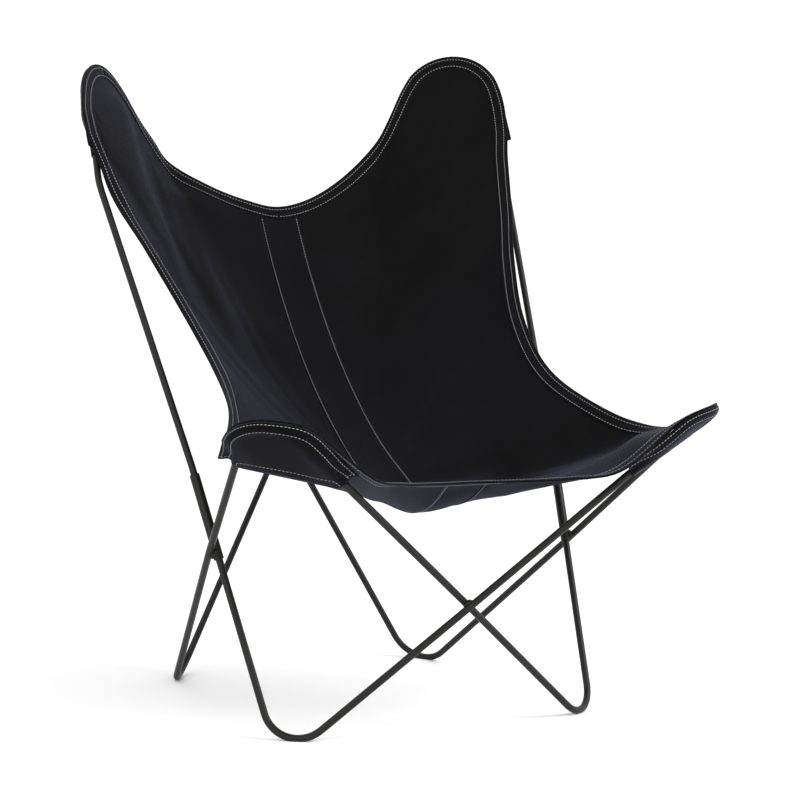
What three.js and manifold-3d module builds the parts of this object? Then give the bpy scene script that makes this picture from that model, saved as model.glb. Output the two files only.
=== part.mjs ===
// Butterfly sling chair: two bent rods cross four times and carry two plug-in hairpins for the back,
// and a canvas sling hangs by four pockets on the horns.
// Millimetres, +X to the sitter's left hand, +Y to the back of the chair, +Z up.
import * as THREE from "three";
import { mergeVertices } from "three/addons/utils/BufferGeometryUtils.js";
import Module from "manifold-3d";

const wasm = await Module();
wasm.setup();

// Rod and sleeves
const rodDiameter = 10;
const rodSides = 12;
const bendStep = THREE.MathUtils.degToRad(13);
const sleeveWall = 1.7;
const sleeveLength = 125;
const sleeveBelowWeld = 9;
const rearSleeveAboveWeld = 16;
const fitGap = 0.3;
const rodEntry = 26;

// Corners of the rods, where their straight runs would meet, and their bend radii
const frontHorn = [352, -270, 465];
const frontFoot = [246, -122, -28];
const rearFoot = [213, 351, -29];
const frontCrossing = [0, -186, 178];
const rearCrossing = [0, 420, 367];
const sideCrossing = [279.5, 17.5, 236];
const frontHornRadius = 48;
const frontFootRadius = 48;
const rearFootRadius = 54;
const springRadius = 150;
const footFlat = 1.4;

// Hairpins of the back: where the side leg bends upright, and the middle of the round top
const hairpinShoulder = [356, 350, 800];
const hairpinCrown = [308, 447, 906];
const hairpinRadius = 60;
const shoulderRadius = 150;
const mouthBend = 12;
const rightSeatDepth = 34;
const leftSeatDepth = 97;

// Welds
const weldRadius = 8;
const weldSides = 14;

// Sling
const clothThickness = 1.2;
const bindingThickness = 0.8;
const bindingWidth = 20;
const tapeGap = 0.5;
const pocketThickness = 1;
const pocketGap = 0.8;
const flange = 24;
const frontStandoff = 1.5;
const earStandoff = 2.5;
const rightTipSlack = 19;
const stripWidth = 66;
const seamGap = 0.4;
const seatHub = [-15, 60, 320];
const seatSlope = 0.5;
const backFullness = 0.52;
const sideFullness = 0.36;
const frontFullness = 0.69;
const backSharpness = 2;
const frontSharpness = 12;
const frontPocketReach = [-130, 95];
const earPocketReach = [-175, 88];
const easeSpans = 4;
const spokesPerSpan = 2;
const arcPoints = 7;

// Cutting blocks reach past the chair on every side
const cutSize = 3000;

// Edge of the sling between the horns, each with how far it follows its hairpin when that is seated deeper
const frontEdge = [
  { at: [0, -188, 343], follow: 0 },
  { at: [65, -203, 344], follow: 0 },
  { at: [128, -230, 348], follow: 0 },
  { at: [183, -263, 359], follow: 0 },
];
const sideEdge = [
  { at: [322, -114, 411], follow: 0 },
  { at: [287, -34, 438], follow: 0 },
  { at: [270, 60, 483], follow: 0 },
  { at: [279, 148, 555], follow: 0 },
  { at: [308, 230, 649], follow: 0 },
  { at: [342, 300, 744], follow: 0.1 },
];
const neckEdge = [
  { at: [221, 497, 879], follow: 0.95 },
  { at: [197, 492, 841], follow: 0.85 },
  { at: [119, 470, 774], follow: 0.35 },
  { at: [53, 463, 737], follow: 0.05 },
  { at: [0, 462, 725], follow: 0 },
];

const rodRadius = rodDiameter / 2;
const sleeveBore = rodRadius + fitGap;
const sleeveRadius = sleeveBore + sleeveWall;
const rodPitch = rodDiameter + 2 * fitGap;
const vec = ([x, y, z], side = 1) => new THREE.Vector3(x * side, y, z);
const along = (from, direction, distance) => from.clone().addScaledVector(direction, distance);
const heading = (from, to) => to.clone().sub(from).normalize();

const powderCoat = () => new THREE.MeshStandardMaterial({ color: 0x2b2a29, roughness: 0.45, metalness: 0.3 });
const canvas = () => new THREE.MeshStandardMaterial({ color: 0x15161b, roughness: 0.9, metalness: 0 });
const canvasTape = () => new THREE.MeshStandardMaterial({ color: 0x1a1a1d, roughness: 0.85, metalness: 0 });

const chair = new THREE.Group();
function add(name, geometry, material) {
  const mesh = new THREE.Mesh(geometry, material);
  mesh.name = name;
  chair.add(mesh);
}

// A rod's centre line: straight runs joined by arcs, with stations only where the line turns
class BentRod extends THREE.Curve {
  constructor(stations) {
    super();
    this.stations = stations;
  }
  at(u) {
    return this.stations[Math.round(u * (this.stations.length - 1))];
  }
  getPointAt(u) {
    return this.at(u).point.clone();
  }
  getTangentAt(u) {
    return this.at(u).tangent.clone();
  }
}

// The arc that rounds a corner: its centre, its plane and half of its turn
function bendAt(before, corner, after, radius) {
  const toBefore = heading(corner, before);
  const toAfter = heading(corner, after);
  const half = toBefore.angleTo(toAfter) / 2;
  const inward = toBefore.clone().add(toAfter).normalize();
  const across = toAfter.clone().sub(toBefore).normalize();
  return {
    centre: along(corner, inward, radius / Math.sin(half)),
    outward: inward.negate(),
    across,
    radius,
    halfTurn: Math.PI / 2 - half,
  };
}

function bendAngles(bend) {
  const steps = Math.max(1, Math.ceil((2 * bend.halfTurn) / bendStep));
  return Array.from({ length: steps + 1 }, (_, k) => bend.halfTurn * ((2 * k) / steps - 1));
}

const onBend = (bend, angle, radius = bend.radius) =>
  along(along(bend.centre, bend.outward, radius * Math.cos(angle)), bend.across, radius * Math.sin(angle));

function bentRod(corners) {
  const stations = [];
  corners.forEach(({ at, radius }, i) => {
    if (!radius) {
      const tangent = i === 0 ? heading(at, corners[1].at) : heading(corners[i - 1].at, at);
      stations.push({ point: at, tangent });
      return;
    }
    const bend = bendAt(corners[i - 1].at, at, corners[i + 1].at, radius);
    for (const angle of bendAngles(bend)) {
      const tangent = bend.across.clone().multiplyScalar(Math.cos(angle));
      tangent.addScaledVector(bend.outward, -Math.sin(angle));
      stations.push({ point: onBend(bend, angle), tangent });
    }
  });
  return new BentRod(stations);
}

function rodAlong(path) {
  const section = new THREE.Shape();
  section.absarc(0, 0, rodRadius, 0, 2 * Math.PI);
  const steps = path.stations.length - 1;
  return new THREE.ExtrudeGeometry(section, { curveSegments: rodSides / 2, steps, extrudePath: path });
}

function solidOf(geometry) {
  const bare = new THREE.BufferGeometry().setAttribute("position", geometry.getAttribute("position"));
  if (geometry.index) bare.setIndex(geometry.index);
  const merged = mergeVertices(bare, 1e-3);
  const vertProperties = merged.attributes.position.array;
  const triVerts = new Uint32Array(merged.index.array);
  return new wasm.Manifold(new wasm.Mesh({ numProp: 3, vertProperties, triVerts }));
}

function geometryOf(solid) {
  const { vertProperties, triVerts } = solid.getMesh();
  const geometry = new THREE.BufferGeometry();
  geometry.setAttribute("position", new THREE.BufferAttribute(vertProperties, 3));
  geometry.setIndex(new THREE.BufferAttribute(triVerts, 1));
  return geometry;
}

// Frame: what each side of the chair is set out from
function sideFrame(side) {
  const foot = vec(frontFoot, side);
  const weld = vec(sideCrossing, side);
  const post = heading(foot, weld);
  const sleeveFoot = along(weld, post, -sleeveBelowWeld);
  const sleeveMouth = along(sleeveFoot, post, sleeveLength);
  const outerRod = weld.clone().setX(weld.x + side * (sleeveRadius + rodRadius + fitGap));
  // The rear sleeve of this side's hairpin stands on the rod that comes up from the other side's rear foot
  const rearWeld = vec(rearCrossing).setY(rearCrossing[1] - (side * rodPitch) / 2);
  const rearPost = heading(vec(rearFoot, -side), rearWeld);
  const rearSleeveFoot = along(rearWeld, rearPost, rearSleeveAboveWeld);
  const rearSleeveMouth = along(rearSleeveFoot, rearPost, sleeveLength);
  return { foot, weld, post, sleeveFoot, sleeveMouth, outerRod, rearWeld, rearPost, rearSleeveFoot, rearSleeveMouth };
}
const sides = [
  { name: "right", side: 1, seatDepth: rightSeatDepth, tipSlack: rightTipSlack },
  { name: "left", side: -1, seatDepth: leftSeatDepth, tipSlack: 0 },
];
const frames = new Map(sides.map(({ side }) => [side, sideFrame(side)]));

// Base rods: each runs from one side sleeve down to the front foot, across to the other side's front horn,
// down past that side's sleeve to the rear foot and up into the rear sleeve
function baseRodCorners(side) {
  const near = frames.get(side);
  const far = frames.get(-side);
  const frontWeld = vec(frontCrossing).setY(frontCrossing[1] - (side * rodPitch) / 2);
  return [
    { at: along(far.sleeveFoot, far.post, rodEntry) },
    { at: far.foot, radius: frontFootRadius },
    { at: frontWeld, radius: springRadius },
    { at: vec(frontHorn, side), radius: frontHornRadius },
    { at: near.outerRod, radius: springRadius },
    { at: vec(rearFoot, side), radius: rearFootRadius },
    { at: far.rearWeld, radius: springRadius },
    { at: along(far.rearSleeveFoot, far.rearPost, rodEntry) },
  ];
}

// The corner whose rounding has a given centre: each pass sets it further out along its own bisector
function cornerOver(before, centre, after, radius) {
  const corner = along(centre, heading(before, centre).add(heading(after, centre)).normalize(), 3 * radius);
  for (let pass = 0; pass < 40; pass++) {
    const toBefore = heading(corner, before);
    const toAfter = heading(corner, after);
    const half = toBefore.angleTo(toAfter) / 2;
    corner.copy(along(centre, toBefore.add(toAfter).normalize(), -radius / Math.sin(half)));
  }
  return corner;
}

// Hairpins: one corner at each sleeve's mouth, one at the shoulder of the side leg and one at the top
function hairpinCorners({ side, seatDepth }) {
  const frame = frames.get(side);
  const deeper = seatDepth - rightSeatDepth;
  const sideMouth = along(frame.sleeveMouth, frame.post, mouthBend);
  const rearMouth = along(frame.rearSleeveMouth, frame.rearPost, mouthBend);
  const shoulder = vec(hairpinShoulder, side);
  const crown = vec(hairpinCrown, side);
  const downward = heading(crown, sideMouth).add(heading(crown, rearMouth)).normalize();
  shoulder.addScaledVector(heading(shoulder, sideMouth), deeper);
  crown.addScaledVector(downward, deeper);
  const top = cornerOver(shoulder, crown, rearMouth, hairpinRadius);
  return [
    { at: along(frame.sleeveMouth, frame.post, -seatDepth) },
    { at: sideMouth, radius: springRadius },
    { at: shoulder, radius: shoulderRadius },
    { at: top, radius: hairpinRadius },
    { at: rearMouth, radius: springRadius },
    { at: along(frame.rearSleeveMouth, frame.rearPost, -seatDepth) },
  ];
}

function sleeveGeometry(from, direction) {
  const profile = [
    [sleeveBore, 0],
    [sleeveRadius, 0],
    [sleeveRadius, sleeveLength],
    [sleeveBore, sleeveLength],
    [sleeveBore, 0],
  ].map(([r, z]) => new THREE.Vector2(r, z));
  const turn = new THREE.Quaternion().setFromUnitVectors(new THREE.Vector3(0, 1, 0), direction);
  return new THREE.LatheGeometry(profile, 24).applyQuaternion(turn).translate(...from);
}

// Weld: a bead round the touching point of two crossing pieces, cut clear of both
function weldGeometry(first, second) {
  const middle = first.at.clone().add(second.at).multiplyScalar(0.5);
  let bead = solidOf(new THREE.SphereGeometry(weldRadius, weldSides, weldSides / 2).translate(...middle));
  for (const { at, direction, radius } of [first, second]) {
    const turn = new THREE.Quaternion().setFromUnitVectors(new THREE.Vector3(0, 1, 0), direction);
    const cut = new THREE.CylinderGeometry(radius + fitGap, radius + fitGap, 6 * weldRadius, 24);
    bead = bead.subtract(solidOf(cut.applyQuaternion(turn).translate(...at)));
  }
  return geometryOf(bead);
}

const corners = new Map();
for (const half of sides) {
  const { name, side } = half;
  const base = baseRodCorners(side);
  const hairpin = hairpinCorners(half);
  corners.set(side, { base, hairpin });
  const floorCut = new THREE.BoxGeometry(cutSize, cutSize, cutSize).translate(0, 0, footFlat - cutSize / 2);
  add("base_rod_" + name, geometryOf(solidOf(rodAlong(bentRod(base))).subtract(solidOf(floorCut))), powderCoat());
  add("back_hairpin_" + name, rodAlong(bentRod(hairpin)), powderCoat());
  const frame = frames.get(side);
  add("side_sleeve_" + name, sleeveGeometry(frame.sleeveFoot, frame.post), powderCoat());
  add("rear_sleeve_" + name, sleeveGeometry(frame.rearSleeveFoot, frame.rearPost), powderCoat());
  const outer = { at: frame.outerRod, direction: heading(vec(frontHorn, side), frame.outerRod), radius: rodRadius };
  const sleeve = { at: frame.weld, direction: frame.post, radius: sleeveRadius };
  add("side_weld_" + name, weldGeometry(outer, sleeve), powderCoat());
}
const crossingRods = (index) =>
  sides.map(({ side }) => {
    const run = corners.get(side).base;
    return { at: run[index].at, direction: heading(run[index - 1].at, run[index].at), radius: rodRadius };
  });
add("front_weld", weldGeometry(...crossingRods(2)), powderCoat());
add("rear_weld", weldGeometry(...crossingRods(6)), powderCoat());

// Sling: the horn bends that its pockets hang on, and the face of each that the cloth lies against
const clothLift = rodRadius + fitGap + clothThickness / 2;
const hub = vec(seatHub);
const hubUp = new THREE.Vector3(0, -seatSlope, 1).normalize();
const hubBack = new THREE.Vector3(0, 1, seatSlope).normalize();

function hornBend(run, index) {
  const bend = bendAt(run[index - 1].at, run[index].at, run[index + 1].at, run[index].radius);
  bend.face = bend.outward.clone().cross(bend.across).normalize();
  if (bend.face.dot(hubUp) < 0) bend.face.negate();
  return bend;
}
const horns = new Map(
  sides.map(({ side }) => [
    side,
    { front: hornBend(corners.get(side).base, 3), ear: hornBend(corners.get(side).hairpin, 3) },
  ]),
);

// Edge points of one half, from the middle of the front edge round to the middle of the neckline
function edgePoints({ side, tipSlack }) {
  const { front, ear } = horns.get(side);
  const slip = ear.centre.clone().sub(vec(hairpinCrown, side));
  const free = ({ at, follow }) => vec(at, side).addScaledVector(slip, follow);
  const round = (bend, slack, standoff) =>
    Array.from({ length: arcPoints }, (_, k) => {
      const angle = bend.halfTurn * ((2 * k) / (arcPoints - 1) - 1);
      const edge = along(onBend(bend, angle, bend.radius + flange), bend.outward, slack * Math.cos(angle));
      return along(edge, bend.face, clothLift + standoff);
    });
  const frontRound = round(front, tipSlack, frontStandoff);
  const earRound = round(ear, 0, earStandoff);
  return [...frontEdge.map(free), ...frontRound, ...sideEdge.map(free), ...earRound, ...neckEdge.map(free)];
}

const halfEdges = new Map(sides.map((half) => [half.side, edgePoints(half)]));
const wholeEdge = [...halfEdges.get(1), ...halfEdges.get(-1).slice(1, -1).reverse()];
const edgeCurve = new THREE.CatmullRomCurve3(wholeEdge, true, "centripetal");
const spans = halfEdges.get(1).length - 1;
const edgeAt = (side, span) => edgeCurve.getPoint((((side * span) / (2 * spans)) % 1 + 1) % 1);

// A spoke leaves the hub level with the seat and curves up to the edge, less bound to its own edge point inwards
function slingAt(side, span, w) {
  const ease = easeSpans * (1 - w);
  const edge = edgeAt(side, span).multiplyScalar(2);
  edge.add(edgeAt(side, span - ease)).add(edgeAt(side, span + ease)).divideScalar(4);
  const reach = edge.clone().sub(hub);
  const flat = new THREE.Vector3(reach.x, 0, 0).addScaledVector(hubBack, reach.dot(hubBack));
  const forward = -flat.dot(hubBack) / flat.length();
  const end = forward < 0 ? backFullness : frontFullness;
  const sharpness = forward < 0 ? backSharpness : frontSharpness;
  const fullness = sideFullness + (end - sideFullness) * Math.abs(forward) ** sharpness;
  const point = hub.clone().addScaledVector(flat, 2 * w * (1 - w) * fullness);
  return point.addScaledVector(reach, w * w);
}

// The sling's surface at a point: place, upward normal, and the ways in along a spoke and on round the edge
function slingFrame(side, span, w) {
  const step = 1e-3;
  const here = Math.max(w, step);
  const inward = slingAt(side, span, here - step).sub(slingAt(side, span, here + step)).divideScalar(2 * step);
  const onward = slingAt(side, span + step, here).sub(slingAt(side, span - step, here)).divideScalar(2 * step);
  const up = inward.clone().cross(onward).normalize();
  if (up.dot(hubUp) < 0) up.negate();
  return { at: slingAt(side, span, w), up: w < step ? hubUp.clone() : up, inward, onward };
}

// The way in from the edge, square to it
function edgeInward({ inward, onward }) {
  const ahead = onward.clone().normalize();
  return inward.clone().addScaledVector(ahead, -inward.dot(ahead)).normalize();
}

// The span and share of the spoke that lie a distance in from the edge, square to it
function insetAt(side, span, distance) {
  const edge = slingFrame(side, span, 1);
  const goal = along(edge.at, edgeInward(edge), distance);
  const found = { span, w: 1 - distance / edge.inward.length() };
  for (let pass = 0; pass < 12; pass++) {
    const { at, inward, onward } = slingFrame(side, found.span, found.w);
    const miss = goal.clone().sub(at);
    const [ii, io, oo] = [inward.dot(inward), inward.dot(onward), onward.dot(onward)];
    const [mi, mo] = [miss.dot(inward), miss.dot(onward)];
    const scale = ii * oo - io * io;
    found.w -= (mi * oo - mo * io) / scale;
    found.span += (mo * ii - mi * io) / scale;
  }
  return found;
}

// A closed body from a list of points and its faces, with its faces turned outwards
function closedBody(points, faces) {
  let volume = 0;
  for (const [a, b, c] of faces) volume += points[a].dot(points[b].clone().cross(points[c]));
  const geometry = new THREE.BufferGeometry().setFromPoints(points);
  geometry.setIndex(faces.flatMap(([a, b, c]) => (volume < 0 ? [a, c, b] : [a, b, c])));
  return geometry;
}

// A sheet with thickness over a grid of places and normals
function thickSheet(grid, thickness) {
  const rows = grid.length;
  const columns = grid[0].length;
  const points = [];
  for (const face of [0.5, -0.5])
    for (const row of grid) for (const { at, up } of row) points.push(along(at, up, face * thickness));
  const top = (i, j) => i * columns + j;
  const bottom = (i, j) => rows * columns + top(i, j);
  const faces = [];
  const quad = (a, b, c, d) => faces.push([a, b, c], [a, c, d]);
  for (let i = 0; i + 1 < rows; i++)
    for (let j = 0; j + 1 < columns; j++) {
      quad(top(i, j), top(i + 1, j), top(i + 1, j + 1), top(i, j + 1));
      quad(bottom(i, j), bottom(i, j + 1), bottom(i + 1, j + 1), bottom(i + 1, j));
    }
  for (let i = 0; i + 1 < rows; i++) {
    quad(top(i, 0), bottom(i, 0), bottom(i + 1, 0), top(i + 1, 0));
    quad(top(i + 1, columns - 1), bottom(i + 1, columns - 1), bottom(i, columns - 1), top(i, columns - 1));
  }
  for (let j = 0; j + 1 < columns; j++) {
    quad(top(0, j + 1), bottom(0, j + 1), bottom(0, j), top(0, j));
    quad(top(rows - 1, j), bottom(rows - 1, j), bottom(rows - 1, j + 1), top(rows - 1, j + 1));
  }
  return closedBody(points, faces);
}

// The sling before it is cut into its panels: rings of spokes round the hub, closed along the edge
const rings = [0.1, 0.22, 0.36, 0.5, 0.64, 0.78, 0.9, 1];
const stations = [];
for (let k = 0; k < 2 * spans * spokesPerSpan; k++) {
  const span = k / spokesPerSpan;
  stations.push(span <= spans ? { side: 1, span } : { side: -1, span: 2 * spans - span });
}

function slingBody() {
  const rows = stations.map(({ side, span }) => {
    const inner = insetAt(side, span, bindingWidth);
    const spoke = rings.map((ring) => slingFrame(side, span + (inner.span - span) * ring, ring * inner.w));
    return [...spoke, slingFrame(side, span, 1)];
  });
  const columns = rows[0].length;
  const points = [];
  const faces = [];
  for (const face of [0.5, -0.5]) {
    points.push(along(hub, hubUp, face * clothThickness));
    for (const row of rows) for (const { at, up } of row) points.push(along(at, up, face * clothThickness));
  }
  const sheet = 1 + rows.length * columns;
  const point = (layer, k, j) => layer * sheet + 1 + (k % rows.length) * columns + j;
  const both = (a, b, c) => {
    faces.push([a, b, c]);
    faces.push([sheet + a, sheet + c, sheet + b]);
  };
  for (let k = 0; k < rows.length; k++) {
    both(0, point(0, k, 0), point(0, k + 1, 0));
    for (let j = 0; j + 1 < columns; j++) {
      both(point(0, k, j), point(0, k, j + 1), point(0, k + 1, j + 1));
      both(point(0, k, j), point(0, k + 1, j + 1), point(0, k + 1, j));
    }
    const rim = columns - 1;
    faces.push([point(0, k, rim), point(1, k, rim), point(1, k + 1, rim)]);
    faces.push([point(0, k, rim), point(1, k + 1, rim), point(0, k + 1, rim)]);
  }
  return solidOf(closedBody(points, faces));
}

const wholeSling = slingBody();
const slab = (from, to) => solidOf(new THREE.BoxGeometry(to - from, cutSize, cutSize).translate((from + to) / 2, 0, 0));
const seam = stripWidth / 2;
const farSide = cutSize / 2;
add("sling_panel_right", geometryOf(wholeSling.intersect(slab(seam + seamGap, farSide))), canvas());
add("sling_panel_left", geometryOf(wholeSling.intersect(slab(-farSide, -seam - seamGap))), canvas());
add("centre_strip", geometryOf(wholeSling.intersect(slab(-seam, seam))), canvas());

// Binding: a tape folded round the edge, with one leg on each face of the cloth
const legHeight = clothThickness / 2 + tapeGap + bindingThickness;
const foldDepth = tapeGap + bindingThickness;
const tapeSection = [
  [-foldDepth, legHeight],
  [bindingWidth, legHeight],
  [bindingWidth, legHeight - bindingThickness],
  [-tapeGap, legHeight - bindingThickness],
  [-tapeGap, bindingThickness - legHeight],
  [bindingWidth, bindingThickness - legHeight],
  [bindingWidth, -legHeight],
  [-foldDepth, -legHeight],
];

function bindingGeometry(run) {
  const points = [];
  const faces = [];
  const n = tapeSection.length;
  for (const { side, span } of run) {
    const edge = slingFrame(side, span, 1);
    const inner = insetAt(side, span, bindingWidth);
    const innerPlace = slingFrame(side, inner.span, inner.w);
    for (const [inset, height] of tapeSection) {
      const place = inset > 0 ? innerPlace : edge;
      points.push(along(along(place.at, edgeInward(edge), Math.min(0, inset)), place.up, height));
    }
  }
  for (let k = 0; k + 1 < run.length; k++)
    for (let j = 0; j < n; j++) {
      const next = (j + 1) % n;
      const [a, b] = [k * n + j, k * n + next];
      // Split each face the way the cloth's own faces are split, from its inner to its outer edge
      if (tapeSection[j][0] > tapeSection[next][0]) faces.push([a, b, b + n], [a, b + n, a + n]);
      else faces.push([a, b, a + n], [b, b + n, a + n]);
    }
  const cap = THREE.ShapeUtils.triangulateShape(tapeSection.map(([x, y]) => new THREE.Vector2(x, y)), []);
  const last = (run.length - 1) * n;
  for (const [a, b, c] of cap) {
    faces.push([a, b, c]);
    faces.push([last + a, last + c, last + b]);
  }
  return closedBody(points, faces);
}

const frontTip = frontEdge.length + (arcPoints - 1) / 2;
const earTip = frontTip + arcPoints + sideEdge.length;
const tapeJoint = 0.02;
function edgeRun(side, from, to) {
  const [low, high] = [Math.min(from, to), Math.max(from, to)];
  const between = [];
  for (let k = Math.floor(low * spokesPerSpan) + 1; k < high * spokesPerSpan; k++) between.push(k / spokesPerSpan);
  const run = [low, ...between, high].map((span) => ({ side, span }));
  return from < to ? run : run.reverse();
}
const frontRun = [...edgeRun(-1, frontTip - tapeJoint, 0), ...edgeRun(1, 0, frontTip - tapeJoint).slice(1)];
const neckRun = [...edgeRun(1, earTip + tapeJoint, spans), ...edgeRun(-1, spans, earTip + tapeJoint).slice(1)];
add("front_binding", bindingGeometry(frontRun), canvasTape());
add("neck_binding", bindingGeometry(neckRun), canvasTape());
for (const { name, side } of sides) {
  const ends = [frontTip + tapeJoint, earTip - tapeJoint];
  const sideRun = edgeRun(side, ...(side > 0 ? ends : ends.reverse()));
  add("side_binding_" + name, bindingGeometry(sideRun), canvasTape());
}

// Pockets: cloth sewn under the binding, drawn round the horn's rod and across to a straight mouth
function pocketGeometry(bend, [before, after]) {
  const arc = bend.radius * bend.halfTurn;
  const hug = rodRadius + pocketGap + pocketThickness / 2;
  const sewnLevel = clothLift - legHeight - fitGap - pocketThickness / 2;
  const turned = [0, 0.25, 0.5].map((turn) => [hug * Math.cos(turn * Math.PI), -hug * Math.sin(turn * Math.PI)]);
  const section = [[flange, sewnLevel], [flange / 2, sewnLevel], [1.25 * hug, sewnLevel / 2], ...turned];
  const place = (s) => {
    const angle = THREE.MathUtils.clamp(s / bend.radius, -bend.halfTurn, bend.halfTurn);
    const out = bend.outward.clone().multiplyScalar(Math.cos(angle)).addScaledVector(bend.across, Math.sin(angle));
    const tangent = bend.across.clone().multiplyScalar(Math.cos(angle)).addScaledVector(bend.outward, -Math.sin(angle));
    return { at: along(onBend(bend, angle), tangent, s - angle * bend.radius), out };
  };
  const mouthEnds = [before, after].map((s) => {
    const { at, out } = place(s);
    return along(along(at, out, -1.5 * hug), bend.face, -hug);
  });
  const round = bendAngles(bend).map((angle) => angle * bend.radius);
  const lengths = [before, (before - arc) / 2, ...round, (after + arc) / 2, after];
  const spread = [1 / 3, 2 / 3, 1];
  const grid = lengths.map((s) => {
    const { at, out } = place(s);
    const row = section.map(([o, f]) => along(along(at, out, o), bend.face, f));
    const under = row[row.length - 1];
    const mouth = mouthEnds[0].clone().lerp(mouthEnds[1], (s - before) / (after - before));
    return [...row, ...spread.map((share) => under.clone().lerp(mouth, share))];
  });
  return thickSheet(withNormals(grid), pocketThickness);
}

function withNormals(grid) {
  const clamp = (list, i) => list[Math.min(Math.max(i, 0), list.length - 1)];
  return grid.map((row, i) =>
    row.map((at, j) => {
      const down = clamp(grid, i + 1)[j].clone().sub(clamp(grid, i - 1)[j]);
      const cross = clamp(row, j + 1).clone().sub(clamp(row, j - 1));
      return { at, up: down.cross(cross).normalize() };
    }),
  );
}

for (const { name, side } of sides) {
  const { front, ear } = horns.get(side);
  add("front_pocket_" + name, pocketGeometry(front, frontPocketReach), canvas());
  add("back_pocket_" + name, pocketGeometry(ear, earPocketReach), canvas());
}

// Group at the middle of its footprint, standing on the floor
const box = new THREE.Box3().setFromObject(chair);
const middle = box.getCenter(new THREE.Vector3());
chair.position.set(-middle.x, -middle.y, -box.min.z);

export default chair;
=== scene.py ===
import math

import bmesh
import bpy
from bpy.props import FloatProperty, FloatVectorProperty, IntProperty, PointerProperty
from bpy.types import Operator, Panel, PropertyGroup
from mathutils import Matrix, Vector, noise
from mathutils.bvhtree import BVHTree


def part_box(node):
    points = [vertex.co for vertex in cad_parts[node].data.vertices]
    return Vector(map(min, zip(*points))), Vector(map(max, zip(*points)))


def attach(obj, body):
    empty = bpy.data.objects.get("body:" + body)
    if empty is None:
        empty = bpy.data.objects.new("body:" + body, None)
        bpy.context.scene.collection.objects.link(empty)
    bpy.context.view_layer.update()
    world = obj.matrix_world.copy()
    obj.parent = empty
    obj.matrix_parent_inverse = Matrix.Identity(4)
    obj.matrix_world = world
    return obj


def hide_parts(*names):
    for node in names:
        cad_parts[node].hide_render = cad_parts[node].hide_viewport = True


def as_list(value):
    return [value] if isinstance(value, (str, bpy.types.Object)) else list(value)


bl_info = {
    "name": "Butterfly sling chair",
    "version": (1, 0, 0),
    "blender": (4, 5, 0),
    "location": "3D View > Sidebar > Sling chair",
    "description": "Dresses the chair's rod frame and canvas sling and sets its stage",
    "category": "Object",
}

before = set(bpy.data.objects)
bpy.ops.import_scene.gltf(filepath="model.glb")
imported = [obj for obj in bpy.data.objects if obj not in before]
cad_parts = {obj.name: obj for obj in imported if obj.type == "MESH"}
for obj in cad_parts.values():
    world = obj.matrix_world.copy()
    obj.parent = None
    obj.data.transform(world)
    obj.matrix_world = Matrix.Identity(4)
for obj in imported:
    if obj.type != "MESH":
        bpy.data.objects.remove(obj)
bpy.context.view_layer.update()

SIDES = {1: "right", -1: "left"}

# Corners of the rods, where their straight runs would meet, and their bend radii
FRONT_HORN = Vector((0.352, -0.270, 0.465))
FRONT_FOOT = Vector((0.246, -0.122, -0.028))
REAR_FOOT = Vector((0.213, 0.351, -0.029))
FRONT_CROSSING = Vector((0, -0.186, 0.178))
REAR_CROSSING = Vector((0, 0.420, 0.367))
SIDE_CROSSING = Vector((0.2795, 0.0175, 0.236))
FRONT_HORN_RADIUS = 0.048
FRONT_FOOT_RADIUS = 0.048
REAR_FOOT_RADIUS = 0.054
SPRING_RADIUS = 0.150
FIT_GAP = 0.0003
ROD_ENTRY = 0.026
SLEEVE_BELOW_WELD = 0.009
REAR_SLEEVE_ABOVE_WELD = 0.016

# Hairpins of the back, and how deep each is pushed into its sleeves
HAIRPIN_SHOULDER = Vector((0.356, 0.350, 0.800))
HAIRPIN_CROWN = Vector((0.308, 0.447, 0.906))
HAIRPIN_RADIUS = 0.060
SHOULDER_RADIUS = 0.150
MOUTH_BEND = 0.012
SEAT_DEPTH = {1: 0.034, -1: 0.097}

# Finish of the pieces: steps of the bends, passes that find a corner, the sleeves' sides and rims, gaps that
# are merged, and the beads' smoothing, swell and ripple
BEND_STEP = math.radians(4)
CORNER_PASSES = 40
SHARP_ANGLE = math.radians(50)
SLEEVE_SIDES = 32
RIM_ANGLE = math.radians(60)
RIM_BEVEL = 0.0005
MERGE_GAP = 1e-6
HUB_MERGE_GAP = 1e-5
BEAD_SMOOTHING = 0.4
BEAD_SWELL = 0.0004
BEAD_RIPPLE = 0.0005
RIPPLE_SCALE = 420

# Edge of the sling between the horns: x, y and z of each point, and how far it follows its hairpin
FRONT_EDGE = (
    (0, -0.188, 0.343, 0),
    (0.065, -0.203, 0.344, 0),
    (0.128, -0.230, 0.348, 0),
    (0.183, -0.263, 0.359, 0),
)
SIDE_EDGE = (
    (0.322, -0.114, 0.411, 0),
    (0.287, -0.034, 0.438, 0),
    (0.270, 0.060, 0.483, 0),
    (0.279, 0.148, 0.555, 0),
    (0.308, 0.230, 0.649, 0),
    (0.342, 0.300, 0.744, 0.1),
)
NECK_EDGE = (
    (0.221, 0.497, 0.879, 0.95),
    (0.197, 0.492, 0.841, 0.85),
    (0.119, 0.470, 0.774, 0.35),
    (0.053, 0.463, 0.737, 0.05),
    (0, 0.462, 0.725, 0),
)
ARC_POINTS = 7
FLANGE = 0.024
FRONT_STANDOFF = 0.0015
EAR_STANDOFF = 0.0025
TIP_SLACK = {1: 0.019, -1: 0}

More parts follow.
